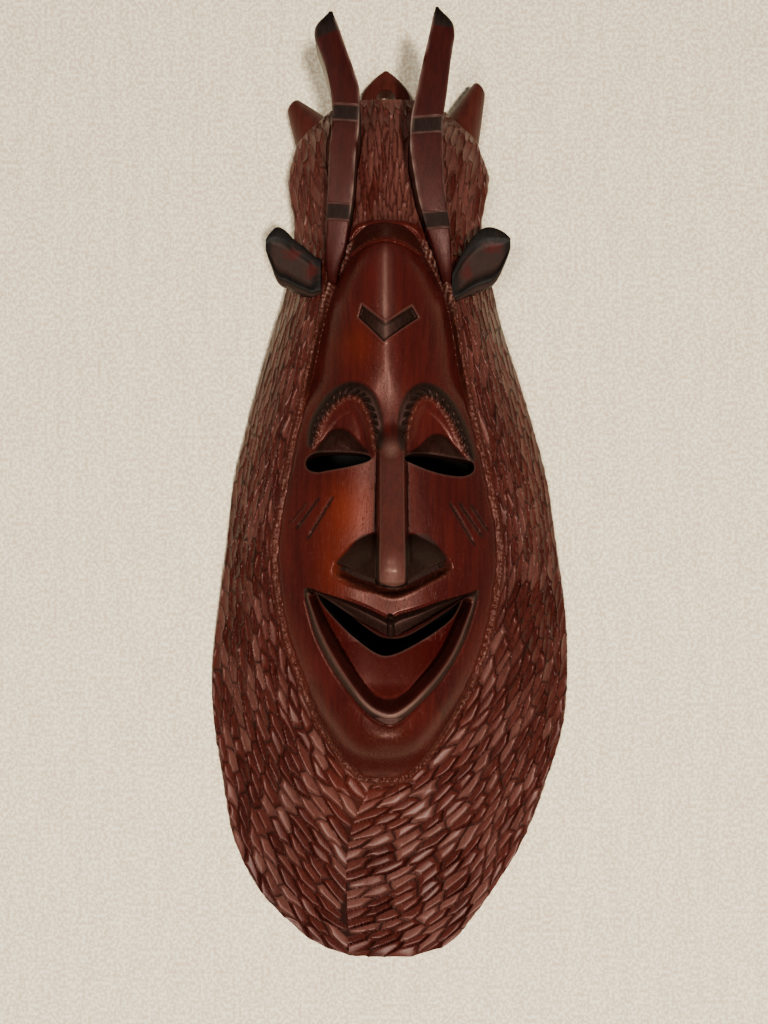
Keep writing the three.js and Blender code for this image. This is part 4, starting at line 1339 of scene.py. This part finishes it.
# %% Mixing a finish
class Finish:

    def __init__(self, name):
        self.material = bpy.data.materials.new(name)
        self.material.use_nodes = True
        self.tree = self.material.node_tree
        self.tree.nodes.clear()
        self.surface = self.node("ShaderNodeBsdfPrincipled")
        out = self.tree.nodes.new("ShaderNodeOutputMaterial")
        self.tree.links.new(self.surface.socket, out.inputs["Surface"])
        self.bsdf = self.surface.socket.node

    def node(self, kind, outlet=0, settings=(), **inputs):
        node = self.tree.nodes.new(kind)
        for key, value in dict(settings).items():
            setattr(node, key, value)
        for key, value in inputs.items():
            slot = node.inputs[int(key[1:])] if key[0] == "_" else node.inputs[key.replace("_", " ")]
            self.feed(slot, value)
        return Value(self.tree, node.outputs[outlet])

    def feed(self, slot, value):
        if isinstance(value, Value):
            self.tree.links.new(value.socket, slot)
        else:
            slot.default_value = value

    def mask(self, name):
        return self.node("ShaderNodeAttribute", "Fac", {"attribute_name": name})

    def where(self, scale=(1, 1, 1), turn=(0, 0, 0)):
        place = self.node("ShaderNodeTexCoord", "Object")
        return self.node("ShaderNodeMapping", 0, Vector=place, Scale=scale, Rotation=turn)

    def noise(self, size, stretch=(1, 1, 1), detail=4.0, rough=0.55, warp=0.0, turn=(0, 0, 0)):
        """Noise whose features are about `size` millimetres, stretched along each axis."""
        scale = tuple(1000.0 / (size * s) for s in stretch)
        return self.node("ShaderNodeTexNoise", "Fac", Vector=self.where(scale, turn), Scale=1.0,
                         Detail=detail, Roughness=rough, Distortion=warp)

    def blend(self, share, first, second, how="MIX"):
        node = self.tree.nodes.new("ShaderNodeMix")
        node.data_type, node.blend_type = "RGBA", how
        self.feed(node.inputs[0], share)
        for slot, colour in ((node.inputs[6], first), (node.inputs[7], second)):
            self.feed(slot, colour if isinstance(colour, Value) else (*colour, 1.0))
        return Value(self.tree, node.outputs[2])

    def bump(self, height, depth, strength=1.0):
        """Depth is the real height in millimetres of a full swing of `height`."""
        return self.node("ShaderNodeBump", 0, Height=height, Strength=strength, Distance=depth * MM)

    def set(self, **inputs):
        for key, value in inputs.items():
            slot = self.bsdf.inputs[key.replace("_", " ")]
            self.feed(slot, (*value, 1.0) if isinstance(value, tuple) else value)
        return self.material


print("a finish can blend, bump and read masks")

# %% [markdown]
# ## The red stain of the head
# The grain runs up the mask, with long streaks and short dark pores between them. Over it lie the
# stain, with painted shade dark in the gaps between cuts and deepest under the chin and in the mouth,
# then the black brushwork with painted shade in and round the holes, then painted highlights and rubbed
# places.
# The gloss is low and tinted red, as wax over dark stain is.

# %% The red stain of the head
# Pale pinkish wood for the painted highlights and for the real wear on the rubbed roll.
HIGHLIGHT_AND_RUBBED_WOOD = (0.2, 0.115, 0.095)


def grain(finish):
    streaks = finish.noise(2.6, (1, 14, 1), 5, 0.6, 0.4)
    broad = finish.noise(22, (1, 5, 1), 3, 0.5, 0.8)
    pores = finish.noise(0.55, (1, 9, 1), 3, 0.6)
    return streaks, broad, pores.rising(0.56, 0.72)


def stained_wood():
    f = Finish("red stain over carved wood")
    streaks, broad, pores = grain(f)
    paint, hair, gap, tone = f.mask("paint"), f.mask("hair"), f.mask("gap"), f.mask("tone")
    rough, glow, paler_mark, deep = f.mask("rough"), f.mask("glow"), f.mask("paler_mark"), f.mask("deep")
    fine = f.noise(1.1, (1, 3, 1), 5, 0.65)
    blotch = f.noise(34, (1, 1.6, 1), 4, 0.6, 0.6)
    cloud = streaks.rising(0.3, 0.7) * 0.5 + blotch.rising(0.35, 0.7) * 0.5
    face = f.blend(cloud, (0.019, 0.003, 0.0027), (0.047, 0.0062, 0.0046))
    face = f.blend(pores * 0.3, face, (0.015, 0.0018, 0.0014))
    face = f.blend(glow.held() * (0.65 + 0.35 * streaks), face, (0.095, 0.0115, 0.003))
    # Painted shade: deepest red under the chin and on the floor of the mouth.
    face = f.blend(deep.held() * 0.85, face, (0.021, 0.0004, 0.0003))
    share = (tone * 0.34 + fine.rising(0.3, 0.7) * 0.4 + (broad - 0.35) * 0.5).held()
    fur = f.blend(share, (0.014, 0.0019, 0.0015), (0.073, 0.0132, 0.009))
    # Painted shade in the gaps between cuts and in the step under the nose.
    fur = f.blend(gap * 0.9, fur, (0.0045, 0.001, 0.0008))
    fur = f.blend(glow.held() * 0.4, fur, (0.1, 0.011, 0.003))
    wood = f.blend(hair, face, fur)
    # Pale flecks on rough places; at the chin and the bridge these are painted highlights.
    flecks = f.noise(0.8, (1, 1.6, 1), 4, 0.7).rising(0.5, 0.66)
    wood = f.blend(rough * (0.1 + 0.6 * flecks), wood, (0.12, 0.038, 0.02))
    wood = f.blend((rough * (1.0 - flecks) * 0.5).held(), wood, (0.014, 0.004, 0.003))
    rubbed = f.noise(3.2, (1, 2.5, 1), 5, 0.7).rising(0.58, 0.8)
    # Black paint together with painted shade on the slits' rims, inside the holes and in the step under the
    # nose.
    black_paint_and_shade = (paint * (1.0 - rubbed * 0.35)).held()
    black = f.blend(fine.rising(0.35, 0.7), (0.003, 0.0018, 0.0014), (0.0085, 0.0048, 0.0036))
    colour = f.blend(black_paint_and_shade, wood, black)
    # Painted highlights and rubbed wear.
    colour = f.blend((paler_mark * (0.45 + 0.75 * fine)).held(), colour, HIGHLIGHT_AND_RUBBED_WOOD)
    gloss = 0.27 + hair * 0.11 + rough * 0.1 + paint * 0.18 + gap * 0.2 + (fine - 0.5) * 0.16
    wax = (hair * 0.11 * (1.0 - gap) + rough * 0.15 * flecks + paler_mark * 0.08).held()
    relief = streaks * 0.2 + fine * (0.3 + 0.8 * hair + 1.6 * rough) - pores * 0.25
    return f.set(Base_Color=colour, Roughness=gloss.held(), Coat_Weight=wax, Coat_Roughness=0.36,
                 Normal=f.bump(relief, 0.16, 0.9), Specular_IOR_Level=0.125, Specular_Tint=(1.0, 0.52, 0.45))


head_finish = stained_wood()
print("mixed", head_finish.name)

# %% [markdown]
# ## The horns
# The horns are of a finer wood, darker and more wine red, with black bands between scored lines.

# %% The horns' polish
def horn_wood():
    f = Finish("wine red polish with black bands")
    streaks, broad, pores = grain(f)
    paint, score, paler_mark = f.mask("paint"), f.mask("rough"), f.mask("paler_mark")
    fine = f.noise(0.9, (1, 6, 1), 4, 0.6)
    cloud = streaks.rising(0.3, 0.7) * 0.6 + broad * 0.4
    wood = f.blend(cloud, (0.012, 0.002, 0.002), (0.026, 0.0036, 0.0032))
    wood = f.blend(pores * 0.3, wood, (0.008, 0.0018, 0.0018))
    black = f.blend(fine.rising(0.35, 0.7), (0.003, 0.0026, 0.0024), (0.0075, 0.006, 0.0052))
    colour = f.blend(paint * (1.0 - 0.15 * fine), wood, black)
    colour = f.blend(score * 0.5, colour, (0.06, 0.04, 0.032))
    # Painted highlight along the arrises.
    colour = f.blend((paler_mark * (0.5 + 0.6 * fine)).held(), colour, (0.26, 0.17, 0.14))
    gloss = 0.33 + (fine - 0.5) * 0.12 + paint * 0.25 + score * 0.1
    relief = streaks * 0.25 + fine * 0.4 - pores * 0.2 - score * 1.6
    return f.set(Base_Color=colour, Roughness=gloss.held(), Normal=f.bump(relief, 0.12, 0.9),
                 Specular_IOR_Level=0.06, Specular_Tint=(1.0, 0.6, 0.55))


horn_finish = horn_wood()
print("mixed", horn_finish.name)

# %% [markdown]
# ## The ears
# The ears are stained nearly black and left dull. Handling has rubbed the stain through to red.

# %% The ears' dark stain
def darkened_wood():
    f = Finish("brown-black stain rubbed through to red")
    streaks, _, pores = grain(f)
    paint, hollow = f.mask("paint"), f.mask("paler_mark")
    fine = f.noise(1.4, (1, 2.4, 1), 5, 0.65)
    paler_mark = f.noise(6, (1, 1.4, 1), 4, 0.6, 0.5)
    red = f.blend(streaks, (0.025, 0.003, 0.0024), (0.048, 0.0052, 0.004))
    cloud = fine.rising(0.3, 0.7) * 0.6 + paler_mark.rising(0.4, 0.7) * 0.4
    black = f.blend(cloud, (0.0028, 0.002, 0.0018), (0.008, 0.005, 0.004))
    black = f.blend(hollow * (0.5 + 0.6 * paler_mark), black, (0.022, 0.0105, 0.008))
    colour = f.blend((paint - paler_mark.rising(0.62, 0.74) * 0.3).held(), red, black)
    gloss = 0.58 + (fine - 0.5) * 0.2
    relief = streaks * 0.3 + fine * 0.6 - pores * 0.4
    return f.set(Base_Color=colour, Roughness=gloss.held(), Normal=f.bump(relief, 0.16, 0.9),
                 Specular_IOR_Level=0.12)


ear_finish = darkened_wood()
print("mixed", ear_finish.name)

# %% [markdown]
# ## The pegs and the loop
# The side horns and the loop have the head's red stain with a satin surface and no paint.

# %% The pegs' satin stain
def peg_wood():
    f = Finish("satin red wood of the pegs and loop")
    streaks, broad, pores = grain(f)
    fine = f.noise(1.2, (1, 3, 1), 5, 0.65)
    cloud = streaks.rising(0.3, 0.7) * 0.5 + broad.rising(0.3, 0.7) * 0.5
    wood = f.blend(cloud, (0.022, 0.0034, 0.0028), (0.06, 0.012, 0.0085))
    colour = f.blend(pores * 0.3, wood, (0.015, 0.003, 0.0025))
    gloss = 0.46 + (fine - 0.5) * 0.18
    relief = streaks * 0.4 + fine * 0.6 - pores * 0.4
    return f.set(Base_Color=colour, Roughness=gloss.held(), Normal=f.bump(relief, 0.15, 0.9),
                 Specular_IOR_Level=0.14, Specular_Tint=(1.0, 0.55, 0.48))


peg_finish = peg_wood()
FINISH_OF = {
    head: head_finish, left_horn: horn_finish, right_horn: horn_finish, left_ear: ear_finish,
    right_ear: ear_finish, left_side: peg_finish, right_side: peg_finish, loop: peg_finish,
}
for piece, finish in FINISH_OF.items():
    piece.data.materials.clear()
    piece.data.materials.append(finish)
print("finishes", sorted({finish.name for finish in FINISH_OF.values()}))

# %% [markdown]
# ## The cloth it lies on
# The mask lies on pale cloth with a short nap. A black card under the hollow is painted shadow, so
# that the eyes and the mouth read as dark holes.

# %% The cloth and the card
def cloth_floor():
    bpy.ops.mesh.primitive_plane_add(size=8, location=(0, 0, -0.0005))
    floor = bpy.context.object
    floor.name = "pale_cloth"
    f = Finish("pale cloth")
    nap = f.noise(1.8, (1, 1.2, 1), 4, 0.7)
    slub = f.noise(6, (1, 6, 1), 3, 0.5)
    weave = nap.rising(0.42, 0.6) * 0.85 + slub.rising(0.35, 0.65) * 0.15
    tone = f.blend(weave, (0.64, 0.505, 0.34), (1.0, 0.9, 0.69))
    relief = f.bump(nap + slub * 0.5, 0.9, 0.8)
    floor.data.materials.append(f.set(Base_Color=tone, Roughness=0.9, Normal=relief))


def painted_shadow_card():
    angle = np.linspace(0, 2 * np.pi, 72, endpoint=False)
    (cx, cy, _), (rx, ry, _) = HOLLOW["centre"], HOLLOW["radii"]
    outline = np.stack([cx + (rx - 2) * np.cos(angle), cy + (ry - 2) * np.sin(angle)], 1)
    card = punch("painted_shadow_card", outline, -0.45, -0.1)
    f = Finish("painted shadow card")
    # Flat black where the inside of the hollow would lie in shade: painted shadow.
    fibre = f.noise(1.5)
    black = f.blend(fibre, (0.002, 0.002, 0.002), (0.005, 0.005, 0.005))
    card.data.materials.append(f.set(Base_Color=black, Roughness=0.95))


cloth_floor()
painted_shadow_card()
print("cloth and card laid")

# %% [markdown]
# ## Light and camera
# Two warm lamps hang on the viewer's side, a near bright one and a wider dim one. The room's walls are
# brighter than its ceiling, so that side planes shine and tops stay deep. The camera looks straight
# down from arm's length.

# %% Light and camera
LAMP_TINT, WALL_TINT = (1.0, 0.93, 0.81), (1.0, 0.965, 0.92, 1)
CAMERA_PLACE = (-0.00307, 0.0013, 0.440)


def softbox(name, place, size, power):
    lamp = bpy.data.lights.new(name, "AREA")
    lamp.shape, lamp.size, lamp.size_y = "RECTANGLE", size, size
    lamp.energy, lamp.color = power, LAMP_TINT
    box = bpy.data.objects.new(name, lamp)
    box.location = place
    box.rotation_euler = (Vector((0, 0, 0)) - Vector(place)).to_track_quat("-Z", "Y").to_euler()
    bpy.context.scene.collection.objects.link(box)


def room_light():
    world = bpy.context.scene.world or bpy.data.worlds.new("room")
    bpy.context.scene.world = world
    world.use_nodes = True
    tree = world.node_tree
    place = tree.nodes.new("ShaderNodeTexCoord")
    split = tree.nodes.new("ShaderNodeSeparateXYZ")
    tree.links.new(place.outputs["Generated"], split.inputs[0])
    up = Value(tree, split.outputs[2])
    glow = 0.3 - 0.22 * up.rising(0.15, 0.8)
    background = tree.nodes["Background"]
    background.inputs["Color"].default_value = WALL_TINT
    tree.links.new(glow.socket, background.inputs["Strength"])


softbox("near lamp", (0.32, -0.66, 2.0), 0.16, 82)
softbox("far lamp", (-0.5, -0.3, 2.0), 0.3, 27)
room_light()
camera = bpy.data.objects.new("camera", bpy.data.cameras.new("camera"))
camera.data.lens, camera.data.sensor_width, camera.data.sensor_fit = 27, 36, "AUTO"
camera.data.dof.use_dof = False
camera.location = CAMERA_PLACE
camera.data.clip_start = 0.01
bpy.context.scene.collection.objects.link(camera)
bpy.context.scene.camera = camera
print("camera", round(CAMERA_PLACE[2] * 1000), "mm over the cloth")
